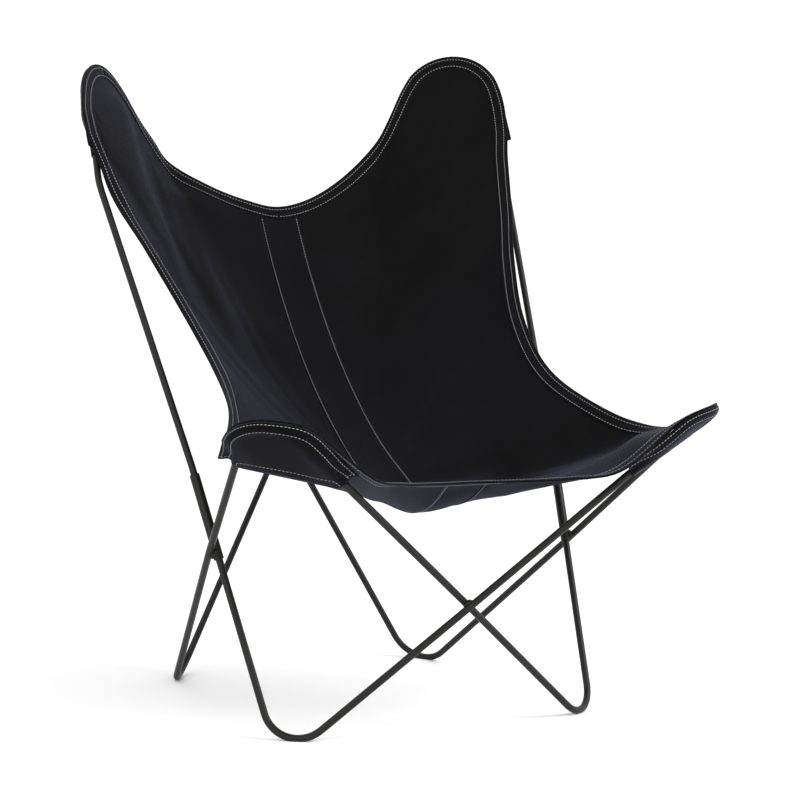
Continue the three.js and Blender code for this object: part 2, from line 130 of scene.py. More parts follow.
# Bowl of the sling: a hub under the sitter and how full each way of it hangs
HUB = Vector((-0.015, 0.060, 0.320))
SEAT_SLOPE = 0.5
HUB_UP = Vector((0, -SEAT_SLOPE, 1)).normalized()
HUB_BACK = Vector((0, 1, SEAT_SLOPE)).normalized()
BACK_FULLNESS = 0.52
SIDE_FULLNESS = 0.36
FRONT_FULLNESS = 0.69
BACK_SHARPNESS = 2
FRONT_SHARPNESS = 12
EASE_SPANS = 4

# Strip and tape: the strip's lap, gap and ease near its ends, its seams' inset, run and the height that they
# are dropped from, the tape's gap, the shares across its legs and the turn of its fold
STRIP_LAP = 0.004
STRIP_GAP = 0.0001
STRIP_EASE = 0.012
SEAM_INSET = 0.0025
SEAM_RUN = (-0.180, 0.450)
ABOVE_CHAIR = 2
TAPE_GAP = 0.00015
TAPE_SHARES = (1, 0.86, 0.6, 0.4, 0.25, 0.1)
TAPE_TURN = (0, 0.5, 1.0, math.pi / 2)

# Pockets: runs along the rod from the middle of its bend, gaps, a section in shares of the flange and of the
# sewn edge's height, the turn round the rod, the grid, how far each puffs out, and its stitch rows and hem
FRONT_POCKET_REACH = (-0.130, 0.095)
EAR_POCKET_REACH = (-0.175, 0.088)
POCKET_TAPE_GAP = 0.0003
POCKET_ROD_GAP = 0.0006
POCKET_SECTION = ((1.0, 1.0), (0.85, 1.0), (0.7, 1.0), (0.55, 0.97), (0.43, 0.8), (0.34, 0.45))
POCKET_TURN = (0, 0.4, 0.8, 1.2, math.pi / 2)
POCKET_COLUMNS = 72
POCKET_SPREAD = 12
POCKET_ROW = 0.004
MOUTH_INSET = 1.5
FRONT_PUFF = 0.005
EAR_PUFF = 0.001
PUFF_TAPER = 0.06
POCKET_ROWS = 0.85
ROW_MARGIN = 0.01
END_ROW = 2
HEM = 0.0155
HEM_LIMIT = 0.9

# How the cloth gives near the rods' bends: hanging front tips, a trimmed left ear, ears that spread along
# their outer sides and a sag between the horns' legs. Runs go along the rod from the middle of its bend
DROOP = {1: 0.010, -1: 0.008}
DROOP_RUN = (-0.045, -0.005, 0.100, 0.150)
TRIM = {1: 0, -1: 0.011}
TRIM_RUN = (0.0, 0.055, 0.080, 0.150)
GIVE_START = 0.004
GIVE_HEIGHTS = (0.06, 0.03)
FLARE = {1: 0.004, -1: 0.017}
FLARE_RUN = (-0.215, -0.150, -0.125, -0.040)
FLARE_REACH = (-0.06, 0)
FLARE_HEIGHTS = (0.08, 0.04)
POCKET_FLARE = 0.45
NEAR_BEND = 0.22
SAG_RUN = (-0.030, 0.050)
SAG_WIDTH = 0.070

# Where the cloth is drawn up behind its edge: run of spans, height and the share of the spoke of its peak
LIPS = (
    ((-3.5, -2.0, 2.0, 3.5), 0.0066, 0.07),
    ((-16.6, -16.0, -13.0, -12.0), 0.009, 0.05),
)

# Soft folds: a line over the cloth, the height along it, and how far it falls away to the left and right
FOLDS = (
    (
        (
            (-0.230, 0.445, 0.805),
            (-0.215, 0.400, 0.725),
            (-0.215, 0.360, 0.675),
            (-0.190, 0.325, 0.590),
            (-0.175, 0.280, 0.530),
        ),
        -0.004, 0.026, 0.013,
    ),
    (
        (
            (-0.175, 0.460, 0.760),
            (-0.160, 0.430, 0.700),
            (-0.155, 0.385, 0.635),
            (-0.140, 0.235, 0.475),
        ),
        0.009, 0.030, 0.070,
    ),
    (
        (
            (-0.320, 0.415, 0.895),
            (-0.285, 0.420, 0.850),
            (-0.275, 0.355, 0.740),
            (-0.255, 0.330, 0.675),
            (-0.245, 0.260, 0.575),
        ),
        0.016, 0.060, 0.035,
    ),
    (
        (
            (0.090, -0.040, 0.330),
            (0.150, -0.085, 0.340),
            (0.195, -0.115, 0.360),
            (0.290, -0.190, 0.400),
        ),
        -0.018, 0.050, 0.055,
    ),
)
FOLD_INSET = 0.07
FOLD_FADE = 0.2
FOLD_REACH = 2.5

# Fineness of the sling and its stitch rows: steps round the edge, rings from hub to edge and under the band,
# steps of a span and of the seat's middle, the step that slopes are taken over, and steps of the rows
EDGE_STATIONS = 420
RINGS = 46
EDGE_RINGS = 3
SPAN_STEPS = 24
PROFILE_STEPS = 60
SLOPE_STEP = 1e-3
INSET_PASSES = 5
SEAM_STEPS = 400
POCKET_STEPS = 120
END_STEPS = 10

# Looks: the map of the flat cloth, how sharply its threads cross, how slubs are drawn out, the weights of
# slubs, bloom and weave in its tone, of slubs in its relief and of grain in the coat's roughness, how much
# lighter the tape is, the thread's tones and how flat a stitch lies
CLOTH_MAP = "cloth"
CROSSING = 3.0
SLUB_STRETCH = (1100, 45)
SLUB_TONE = 0.35
BLOOM_TONE = 0.55
WEAVE_TONE = 0.25
TONE_SHIFT = 0.3
SLUB_RELIEF = 0.5
GRAIN_ROUGHNESS = 0.12
TAPE_LIGHTER = 1.15
THREAD_TONES = (0.7, 1.1)
STITCH_FLATNESS = 0.8

# Floor and lights, and the camera in the chair's own frame
FLOOR_SIZE = 9.0
KEY_LIGHT = (Vector((1.9, -1.7, 2.2)), 1.4)
FILL_LIGHT = (Vector((-2.2, -1.2, 1.5)), 1.6)
LIT_PLACE = Vector((0, 0, 0.45))
CAMERA_PLACE = Vector((-1.324, -2.482, 0.602))
CAMERA_YAW = 0.4863
CAMERA_PITCH = 0.0568
CAMERA_ROLL = 0.0176
CAMERA_LENS = 89.82
SENSOR_WIDTH = 36


def length_setting(name, description, default):
    """A setting in metres."""
    return FloatProperty(
        name=name, description=description, default=default, unit="LENGTH", subtype="DISTANCE"
    )


def power_setting(name, description, default):
    """A setting in watts."""
    return FloatProperty(name=name, description=description, default=default, unit="POWER", subtype="POWER")


def colour_setting(name, description, default):
    """A colour."""
    return FloatVectorProperty(name=name, description=description, default=default, subtype="COLOR")


class FrameSettings(PropertyGroup):
    """Sizes and finish of the rod frame."""

    rod_diameter: length_setting("Rod", "Diameter of the bent rod", 0.010)
    sleeve_diameter: length_setting("Sleeve", "Outer diameter of the sleeves", 0.014)
    sleeve_length: length_setting("Sleeve length", "Length of each sleeve", 0.125)
    rod_sides: IntProperty(name="Rod sides", description="Faces round a rod", default=24, min=8)
    coat_colour: colour_setting("Coat", "Colour of the powder coat", (0.0100, 0.0093, 0.0087))
    rubbed_colour: colour_setting("Rubbed coat", "Colour where the coat is rubbed", (0.022, 0.0205, 0.0195))


class ClothSettings(PropertyGroup):
    """Sizes and finish of the sling, its bands and its pockets."""

    cloth_thickness: length_setting("Canvas", "Thickness of the canvas", 0.0012)
    band_width: length_setting("Band width", "Width of the folded edge band", 0.020)
    band_thickness: length_setting("Band", "Thickness of the band's tape", 0.0008)
    pocket_thickness: length_setting("Pocket", "Thickness of the pocket cloth", 0.0010)
    strip_width: length_setting("Centre strip", "Width of the centre strip", 0.066)
    weave_pitch: length_setting("Weave", "Distance between threads", 0.0009)
    thread_colour: colour_setting("Canvas threads", "Colour of the canvas", (0.0038, 0.0036, 0.0037))
    bloom_colour: colour_setting(
        "Faded canvas", "Colour where the canvas has faded", (0.0074, 0.0071, 0.0077)
    )


class StitchSettings(PropertyGroup):
    """Sizes and colour of the stitching."""

    length: length_setting("Stitch", "Length of one stitch", 0.0037)
    gap: length_setting("Gap", "Gap between stitches", 0.0013)
    thickness: length_setting("Thread", "Thickness of the thread", 0.0011)
    outer_row: length_setting("Outer row", "Outer row's distance from the edge", 0.005)
    inner_row: length_setting("Inner row", "Inner row's distance from the edge", 0.0172)
    colour: colour_setting("Thread colour", "Colour of the thread", (0.29, 0.285, 0.285))


class StageSettings(PropertyGroup):
    """Floor and lights."""

    floor_colour: colour_setting("Floor", "Colour of the floor", (0.96, 0.96, 0.96))
    surround: FloatProperty(
        name="Surround", description="Brightness of the white surround", default=1.12, min=0
    )
    key_power: power_setting("Key light", "Power of the main soft light", 60.0)
    fill_power: power_setting("Fill light", "Power of the second soft light", 16.0)


def mirrored(point, side):
    """A point of the right side, on the side asked for."""
    return Vector((point.x * side, point.y, point.z))


def heading(start, end):
    """The way from one point to another."""
    return (end - start).normalized()


class Bend:
    """The arc that rounds a rod's corner."""

    def __init__(self, before, corner, after, radius):
        to_before = heading(corner, before)
        to_after = heading(corner, after)
        half = to_before.angle(to_after) / 2
        inward = (to_before + to_after).normalized()
        self.across = (to_after - to_before).normalized()
        self.outward = -inward
        self.centre = corner + inward * (radius / math.sin(half))
        self.radius = radius
        self.half_turn = math.pi / 2 - half
        self.face = self.outward.cross(self.across).normalized()
        if self.face.dot(HUB_UP) < 0:
            self.face.negate()

    def out(self, angle):
        """The way out from the bend at an angle from its middle."""
        return self.outward * math.cos(angle) + self.across * math.sin(angle)

    def onward(self, angle):
        """The way on along the rod at an angle."""
        return self.across * math.cos(angle) - self.outward * math.sin(angle)

    def at(self, angle, radius=None):
        """The rod's axis at an angle, or a place at another radius."""
        return self.centre + self.out(angle) * (self.radius if radius is None else radius)

    def run(self, distance):
        """Place, outward way and turn at a distance along the rod from the middle of the bend."""
        angle = min(max(distance / self.radius, -self.half_turn), self.half_turn)
        place = self.at(angle) + self.onward(angle) * (distance - angle * self.radius)
        return place, self.out(angle), angle

    def locate(self, place):
        """Distance along the rod from the bend's middle, reach beyond the rod and height over its plane."""
        from_centre = place - self.centre
        angle = math.atan2(from_centre.dot(self.across), from_centre.dot(self.outward))
        angle = min(max(angle, -self.half_turn), self.half_turn)
        away = place - self.at(angle)
        distance = angle * self.radius + away.dot(self.onward(angle))
        return distance, away.dot(self.out(angle)), away.dot(self.face)


def ramp(value, start, end):
    """A smooth step from 0 at the start to 1 at the end."""
    share = min(max((value - start) / (end - start), 0), 1)
    return share * share * (3 - 2 * share)


def window(value, run):
    """A smooth rise over the first two bounds of a run and a fall over the last two."""
    return ramp(value, run[0], run[1]) * ramp(value, run[3], run[2])


def walked(places):
    """Distances along a line of places from its first."""
    distances = [0.0]
    for before, after in zip(places, places[1:]):
        distances.append(distances[-1] + (after - before).length)
    return distances


def looked_up(keys, values, key):
    """The value at a key of a rising list, straight between its entries and on past its ends."""
    k = 0
    while k + 2 < len(keys) and keys[k + 1] < key:
        k += 1
    share = (key - keys[k]) / (keys[k + 1] - keys[k])
    return values[k] + (values[k + 1] - values[k]) * share


class Fold:
    """A soft ridge or hollow of the cloth along a line."""

    def __init__(self, line, height, left, right):
        self.points = [Vector(point) for point in line]
        self.height = height
        self.left = left
        self.right = right
        self.reach = FOLD_REACH * max(left, right)

    def rise(self, place):
        """How far the fold lifts a place."""
        last = len(self.points) - 1
        nearest = None
        for k in range(last):
            start, end = self.points[k], self.points[k + 1]
            way = end - start
            share = min(max((place - start).dot(way) / way.length_squared, 0), 1)
            away = place - (start + way * share)
            if nearest is None or away.length_squared < nearest[0].length_squared:
                nearest = (away, (k + share) / last)
        away, along = nearest
        if away.length > self.reach:
            return 0
        width = self.right if away.x > 0 else self.left
        fade = window(along, (0, FOLD_FADE, 1 - FOLD_FADE, 1))
        return self.height * fade * math.exp(-away.length_squared / width**2)


def bend_in(corners, index):
    """The bend at one corner of a rod."""
    return Bend(corners[index - 1][0], corners[index][0], corners[index + 1][0], corners[index][1])


def corner_over(before, centre, after, radius):
    """The corner whose rounding has a given centre: each pass sets it further out along its bisector."""
    corner = centre + (heading(before, centre) + heading(after, centre)).normalized() * 3 * radius
    for _ in range(CORNER_PASSES):
        to_before = heading(corner, before)
        to_after = heading(corner, after)
        half = to_before.angle(to_after) / 2
        corner = centre - (to_before + to_after).normalized() * (radius / math.sin(half))
    return corner


class SidePosts:
    """One side's sleeves and the rods that they stand on."""

    def __init__(self, side, rod, sleeve, length):
        self.foot = mirrored(FRONT_FOOT, side)
        self.weld = mirrored(SIDE_CROSSING, side)
        self.post = heading(self.foot, self.weld)
        self.sleeve_foot = self.weld - self.post * SLEEVE_BELOW_WELD
        self.sleeve_mouth = self.sleeve_foot + self.post * length
        self.outer_rod = self.weld + Vector((side * (sleeve + rod + FIT_GAP), 0, 0))
        self.rear_weld = REAR_CROSSING - Vector((0, side * (rod + FIT_GAP), 0))
        self.rear_post = heading(mirrored(REAR_FOOT, -side), self.rear_weld)
        self.rear_sleeve_foot = self.rear_weld + self.rear_post * REAR_SLEEVE_ABOVE_WELD
        self.rear_sleeve_mouth = self.rear_sleeve_foot + self.rear_post * length


class RodFrame:
    """Corners and bends of the whole frame, from the settings."""

    def __init__(self, sizes):
        self.rod = sizes.rod_diameter / 2
        self.sleeve = sizes.sleeve_diameter / 2
        self.sleeve_length = sizes.sleeve_length
        self.posts = {side: SidePosts(side, self.rod, self.sleeve, self.sleeve_length) for side in SIDES}
        self.base = {side: self.base_corners(side) for side in SIDES}
        self.hairpin = {side: self.hairpin_corners(side) for side in SIDES}
        self.horn = {side: bend_in(self.base[side], 3) for side in SIDES}
        self.ear = {side: bend_in(self.hairpin[side], 3) for side in SIDES}

    def base_corners(self, side):
        """Corners and bend radii of a base rod, named for the side of its horn."""
        near = self.posts[side]
        far = self.posts[-side]
        front_weld = FRONT_CROSSING - Vector((0, side * (self.rod + FIT_GAP), 0))
        return [
            (far.sleeve_foot + far.post * ROD_ENTRY, 0),
            (far.foot, FRONT_FOOT_RADIUS),
            (front_weld, SPRING_RADIUS),
            (mirrored(FRONT_HORN, side), FRONT_HORN_RADIUS),
            (near.outer_rod, SPRING_RADIUS),
            (mirrored(REAR_FOOT, side), REAR_FOOT_RADIUS),
            (far.rear_weld, SPRING_RADIUS),
            (far.rear_sleeve_foot + far.rear_post * ROD_ENTRY, 0),
        ]

    def hairpin_corners(self, side):
        """Corners and bend radii of a hairpin, as deep in its sleeves as it is pushed."""
        posts = self.posts[side]
        deeper = SEAT_DEPTH[side] - SEAT_DEPTH[1]
        side_mouth = posts.sleeve_mouth + posts.post * MOUTH_BEND
        rear_mouth = posts.rear_sleeve_mouth + posts.rear_post * MOUTH_BEND
        shoulder = mirrored(HAIRPIN_SHOULDER, side)
        crown = mirrored(HAIRPIN_CROWN, side)
        downward = (heading(crown, side_mouth) + heading(crown, rear_mouth)).normalized()
        shoulder += heading(shoulder, side_mouth) * deeper
        crown += downward * deeper
        top = corner_over(shoulder, crown, rear_mouth, HAIRPIN_RADIUS)
        return [
            (posts.sleeve_mouth - posts.post * SEAT_DEPTH[side], 0),
            (side_mouth, SPRING_RADIUS),
            (shoulder, SHOULDER_RADIUS),
            (top, HAIRPIN_RADIUS),
            (rear_mouth, SPRING_RADIUS),
            (posts.rear_sleeve_mouth - posts.rear_post * SEAT_DEPTH[side], 0),
        ]

    def origin(self):
        """From the chair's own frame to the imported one: where the right side sleeve is in each."""
        posts = self.posts[1]
        low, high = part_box("side_sleeve_right")
        return (low + high) / 2 - (posts.sleeve_foot + posts.sleeve_mouth) / 2


class Sling:
    """The sling's surface: spokes from a hub under the sitter to points round its edge."""

    def __init__(self, chair, cloth):
        self.chair = chair
        self.lift = chair.rod + FIT_GAP + cloth.cloth_thickness / 2
        self.band_width = cloth.band_width
        self.folds = [Fold(*fold) for fold in FOLDS]
        right, left = (self.half_edge(side) for side in (1, -1))
        self.points = right + left[-2:0:-1]
        self.spans = len(right) - 1
        self.front_tip = len(FRONT_EDGE) + (ARC_POINTS - 1) // 2
        self.ear_tip = self.front_tip + ARC_POINTS + len(SIDE_EDGE)
        self.stations = self.even_stations()
        self.inner = [self.solve_inset(span, self.band_width) for span in self.stations]

    def half_edge(self, side):
        """Edge points of one half, from the middle of the front round to the middle of the neck."""
        ear = self.chair.ear[side]
        slip = ear.centre - mirrored(HAIRPIN_CROWN, side)

        def free(points):
            return [mirrored(Vector(at), side) + slip * follow for *at, follow in points]

        def round_horn(bend, slack, standoff):
            points = []
            for k in range(ARC_POINTS):
                angle = bend.half_turn * (2 * k / (ARC_POINTS - 1) - 1)
                edge = bend.at(angle, bend.radius + FLANGE) + bend.outward * slack * math.cos(angle)
                points.append(edge + bend.face * (self.lift + standoff))
            return points

        horn = round_horn(self.chair.horn[side], TIP_SLACK[side], FRONT_STANDOFF)
        return free(FRONT_EDGE) + horn + free(SIDE_EDGE) + round_horn(ear, 0, EAR_STANDOFF) + free(NECK_EDGE)

    def edge(self, span):
        """A point of the closed edge; spans count up round the right side and down round the left."""
        first = math.floor(span)
        t = span - first
        a, b, c, d = (self.points[(first + k) % len(self.points)] for k in (-1, 0, 1, 2))
        ab, bc, cd = (math.sqrt((q - p).length) for p, q in ((a, b), (b, c), (c, d)))
        start = ((b - a) / ab - (c - a) / (ab + bc) + (c - b) / bc) * bc
        end = ((c - b) / bc - (d - b) / (bc + cd) + (d - c) / cd) * bc
        return b + start * t + (3 * (c - b) - 2 * start - end) * t**2 + (2 * (b - c) + start + end) * t**3

    def even_stations(self):
        """Spans that lie at even distances along the edge, from the neck's middle round to it again."""
        spans = [k / SPAN_STEPS for k in range(-self.spans * SPAN_STEPS, self.spans * SPAN_STEPS + 1)]
        distances = walked([self.edge(span) for span in spans])
        self.edge_length = distances[-1]
        goals = [self.edge_length * j / EDGE_STATIONS for j in range(EDGE_STATIONS + 1)]
        return [looked_up(distances, spans, goal) for goal in goals]

    def station_of(self, span):
        """The station number of a span, counted on past the neck's middle."""
        if span > self.spans:
            return EDGE_STATIONS + self.station_of(span - 2 * self.spans)
        return looked_up(self.stations, range(len(self.stations)), span)

    def near(self, bends, place):
        """The bends that a place is near, with where it lies from each."""
        for side, bend in bends.items():
            if (place - bend.centre).length < NEAR_BEND:
                yield side, bend, *bend.locate(place)

    def give(self, place):
        """How the flange round the bends, and what is sewn to it, hangs down or is trimmed."""
        move = Vector()
        for side, bend, distance, reach, height in self.near(self.chair.horn, place):
            share = window(distance, DROOP_RUN) * ramp(reach, GIVE_START, FLANGE + TIP_SLACK[side])
            move -= bend.face * DROOP[side] * share * ramp(abs(height), *GIVE_HEIGHTS)
        for side, bend, distance, reach, height in self.near(self.chair.ear, place):
            share = window(distance, TRIM_RUN) * min(max((reach - GIVE_START) / (FLANGE - GIVE_START), 0), 1)
            move -= bend.run(distance)[1] * TRIM[side] * share * ramp(abs(height), *GIVE_HEIGHTS)
        return move

    def flare(self, place, start, end):
        """How far the ears' outer sides spread, growing between two distances beyond the rod."""
        move = Vector()
        for side, bend, distance, reach, height in self.near(self.chair.ear, place):
            share = window(distance, FLARE_RUN) * ramp(reach, start, end)
            move += bend.run(distance)[1] * FLARE[side] * share * ramp(abs(height), *FLARE_HEIGHTS)
        return move

    def settle(self, place):
        """How the sling's own cloth lies differently from the taut surface near the bends."""
        move = self.give(place)
        for bend in self.chair.horn.values():
            from_centre = place - bend.centre
            over = from_centre.dot(bend.face) - self.lift - FRONT_STANDOFF
            if over > 0 and from_centre.length < NEAR_BEND:
                between = max(0, 1 - (from_centre.dot(bend.across) / SAG_WIDTH) ** 2)
                move -= bend.face * over * between * ramp(from_centre.dot(bend.outward), *SAG_RUN)
        return move + self.flare(place, *FLARE_REACH)

    def at(self, span, w):
        """A place of the sling as it hangs, with its folds."""
        place = self.taut(span, w)
        turn = (span + self.spans) % (2 * self.spans) - self.spans
        rise = sum(fold.rise(place) for fold in self.folds) * ramp(1 - w, 0, FOLD_INSET)
        for run, height, peak in LIPS:
            lip = (1 - w) / peak
            rise += height * lip * math.exp(1 - lip) * window(turn, run)
        place += self.settle(place)
        if rise:
            place += self.facing(self.taut, span, w) * rise
        return place

    def taut(self, span, w):
        """A place of the sling drawn tight between its horns."""
        ease = EASE_SPANS * (1 - w)
        edge = (self.edge(span) * 2 + self.edge(span - ease) + self.edge(span + ease)) / 4
        reach = edge - HUB
        back = reach.dot(HUB_BACK)
        flat = Vector((reach.x, 0, 0)) + HUB_BACK * back
        forward = -back / flat.length
        end, power = (BACK_FULLNESS, BACK_SHARPNESS) if forward < 0 else (FRONT_FULLNESS, FRONT_SHARPNESS)
        fullness = SIDE_FULLNESS + (end - SIDE_FULLNESS) * abs(forward) ** power
        return HUB + flat * (2 * w * (1 - w) * fullness) + reach * w**2

    def ways(self, span, w, surface=None):
        """How a place moves in along its spoke and on round the edge."""
        surface = surface or self.at
        here = max(w, SLOPE_STEP)
        inward = surface(span, here - SLOPE_STEP) - surface(span, here + SLOPE_STEP)
        onward = surface(span + SLOPE_STEP, here) - surface(span - SLOPE_STEP, here)
        return inward / (2 * SLOPE_STEP), onward / (2 * SLOPE_STEP)

    def facing(self, surface, span, w):
        """The way up from a surface of the sling."""
        inward, onward = self.ways(span, w, surface)
        normal = inward.cross(onward).normalized()
        return -normal if normal.dot(HUB_UP) < 0 else normal

    def up(self, span, w):
        """The way up from the sling as it hangs."""
        return self.facing(self.at, span, w)

    def edge_inward(self, span):
        """The way in from the edge, square to it."""
        inward, onward = self.ways(span, 1)
        ahead = onward.normalized()
        return (inward - ahead * inward.dot(ahead)).normalized()

    def solve_inset(self, span, distance):
        """The span and share of the spoke that lie a distance in from the edge, square to it."""
        goal = self.at(span, 1) + self.edge_inward(span) * distance
        w = 1 - distance / self.ways(span, 1)[0].length
        for _ in range(INSET_PASSES):
            inward, onward = self.ways(span, w)
            miss = goal - self.at(span, w)
            ii, io, oo = inward.dot(inward), inward.dot(onward), onward.dot(onward)
            mi, mo = miss.dot(inward), miss.dot(onward)
            scale = ii * oo - io * io
            w -= (mi * oo - mo * io) / scale
            span += (mo * ii - mi * io) / scale
        return span, w

    def chart(self, station, inset):
        """The span and share of the spoke at a station number and a distance in from the edge."""
        k = min(max(int(station), 0), EDGE_STATIONS - 1)
        share = station - k
        span = self.stations[k] + (self.stations[k + 1] - self.stations[k]) * share
        (span_a, w_a), (span_b, w_b) = self.inner[k], self.inner[k + 1]
        inner_span = span_a + (span_b - span_a) * share
        inner_w = w_a + (w_b - w_a) * share
        part = inset / self.band_width
        return span + (inner_span - span) * part, 1 + (inner_w - 1) * part

    def near_edge(self, station, inset, lift):
        """A place near the edge: in from it along the cloth, or out past it, and up from the cloth."""
        span, w = self.chart(station, max(inset, 0))
        place = self.at(span, w) + self.up(span, w) * lift
        if inset < 0:
            place += self.edge_inward(span) * inset
        return place


def hung_sling(context):
    """The sling as the settings have it."""
    return Sling(RodFrame(context.scene.chair_frame), context.scene.chair_cloth)


def mesh_of(bm, name, material=None):
    """A finished shape as a mesh."""
    mesh = bpy.data.meshes.new(name)
    bm.to_mesh(mesh)
    bm.free()
    if material:
        mesh.materials.append(material)
    return mesh


def placed(name, data):
    """A new object in the scene."""
    thing = bpy.data.objects.new(name, data)
    bpy.context.scene.collection.objects.link(thing)
    return thing


def new_piece(bm, name, material, nodes=(), sharp=None):
    """A finished shape as a piece of the chair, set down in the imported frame."""
    bmesh.ops.translate(bm, vec=RodFrame(bpy.context.scene.chair_frame).origin(), verts=bm.verts)
    mesh = mesh_of(bm, name, material)
    mesh.shade_smooth()
    if sharp:
        mesh.set_sharp_from_angle(angle=sharp)
    piece = placed(name, mesh)
    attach(piece, "root")
    if nodes:
        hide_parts(*nodes)
    return piece


def ring_parts(geometry):
    """The vertices and open edges of a ring that was just drawn out."""
    verts = [part for part in geometry if isinstance(part, bmesh.types.BMVert)]
    edges = [part for part in geometry if isinstance(part, bmesh.types.BMEdge) and part.is_boundary]
    return verts, edges


def bent_rod(corners, radius, sides):
    """A round bar drawn straight to each corner and spun round its bend."""
    bm = bmesh.new()
    place = corners[0][0]
    turn = heading(place, corners[1][0]).to_track_quat("Z", "Y").to_matrix().to_4x4()
    ring = bmesh.ops.create_circle(bm, segments=sides, radius=radius, matrix=Matrix.Translation(place) @ turn)
    verts = ring["verts"]
    edges = list(bm.edges)
    for index in range(1, len(corners)):
        last = index == len(corners) - 1
        bend = None if last else bend_in(corners, index)
        end = corners[index][0] if last else bend.at(-bend.half_turn)
        drawn = bmesh.ops.extrude_edge_only(bm, edges=edges)
        verts, edges = ring_parts(drawn["geom"])
        bmesh.ops.translate(bm, vec=end - place, verts=verts)
        if last:
            break
        axis = bend.onward(-bend.half_turn).cross(bend.onward(bend.half_turn)).normalized()
        steps = max(2, math.ceil(2 * bend.half_turn / BEND_STEP))
        spun = bmesh.ops.spin(
            bm, geom=verts + edges, cent=bend.centre, axis=axis, angle=2 * bend.half_turn, steps=steps
        )
        verts, edges = ring_parts(spun["geom_last"])
        place = bend.at(bend.half_turn)
    close_holes(bm)
    bmesh.ops.recalc_face_normals(bm, faces=bm.faces)
    return bm


def close_holes(bm):
    """Caps every open ring of edges."""
    bmesh.ops.holes_fill(bm, edges=[edge for edge in bm.edges if edge.is_boundary], sides=0)


def cut_away(bm, place, way):
    """Cuts off what lies beyond a plane, on the side that a way points to."""
    parts = bm.verts[:] + bm.edges[:] + bm.faces[:]
    bmesh.ops.bisect_plane(bm, geom=parts, plane_co=place, plane_no=way, clear_outer=True)


def set_inputs(node, values):
    """Sets inputs of a node by their labels."""
    for label, value in values.items():
        node.inputs[label].default_value = value


class Wiring:
    """Short ways to add and join the nodes of one tree."""

    def __init__(self, tree):
        self.tree = tree

    def add(self, kind, **values):
        node = self.tree.nodes.new(kind)
        for name, value in values.items():
            setattr(node, name, value)
        return node

    def join(self, source, target):
        self.tree.links.new(source, target)

    def feed(self, socket, value):
        if isinstance(value, (int, float)):
            socket.default_value = value
        else:
            self.join(value, socket)

    def math(self, operation, *values, clamp=False):
        node = self.add("ShaderNodeMath", operation=operation, use_clamp=clamp)
        for socket, value in zip(node.inputs, values):
            self.feed(socket, value)
        return node.outputs[0]

    def noise(self, place, scale, detail=3.0, roughness=0.5):
        node = self.add("ShaderNodeTexNoise")
        self.join(place, node.inputs["Vector"])
        self.feed(node.inputs["Scale"], scale)
        set_inputs(node, {"Detail": detail, "Roughness": roughness})
        return node.outputs["Fac"]

    def stretched(self, place, scale):
        node = self.add("ShaderNodeMapping")
        self.join(place, node.inputs["Vector"])
        set_inputs(node, {"Scale": scale})
        return node.outputs["Vector"]

    def spread(self, value, low, high, to_low=0.0, to_high=1.0):
        node = self.add("ShaderNodeMapRange")
        self.join(value, node.inputs["Value"])
        set_inputs(node, {"From Min": low, "From Max": high, "To Min": to_low, "To Max": to_high})
        return node.outputs["Result"]

    def relief(self, height, strength, depth):
        node = self.add("ShaderNodeBump")
        set_inputs(node, {"Strength": strength, "Distance": depth})
        self.join(height, node.inputs["Height"])
        return node.outputs["Normal"]

    def mix(self, share, first, second):
        node = self.add("ShaderNodeMix", data_type="RGBA")
        for index, source in ((0, share), (6, first), (7, second)):
            self.join(source, node.inputs[index])
        return node.outputs[2]


def new_group(name, inputs):
    """An empty shader node group for a surface's colour, roughness and relief, and its wiring."""
    group = bpy.data.node_groups.new(name, "ShaderNodeTree")
    outputs = (("Colour", "Color"), ("Roughness", "Float"), ("Height", "Float"))
    for direction, sockets in (("INPUT", inputs), ("OUTPUT", outputs)):
        for label, kind in sockets:
            group.interface.new_socket(label, in_out=direction, socket_type="NodeSocket" + kind)
    wiring = Wiring(group)
    return group, wiring, wiring.add("NodeGroupInput").outputs, wiring.add("NodeGroupOutput").inputs


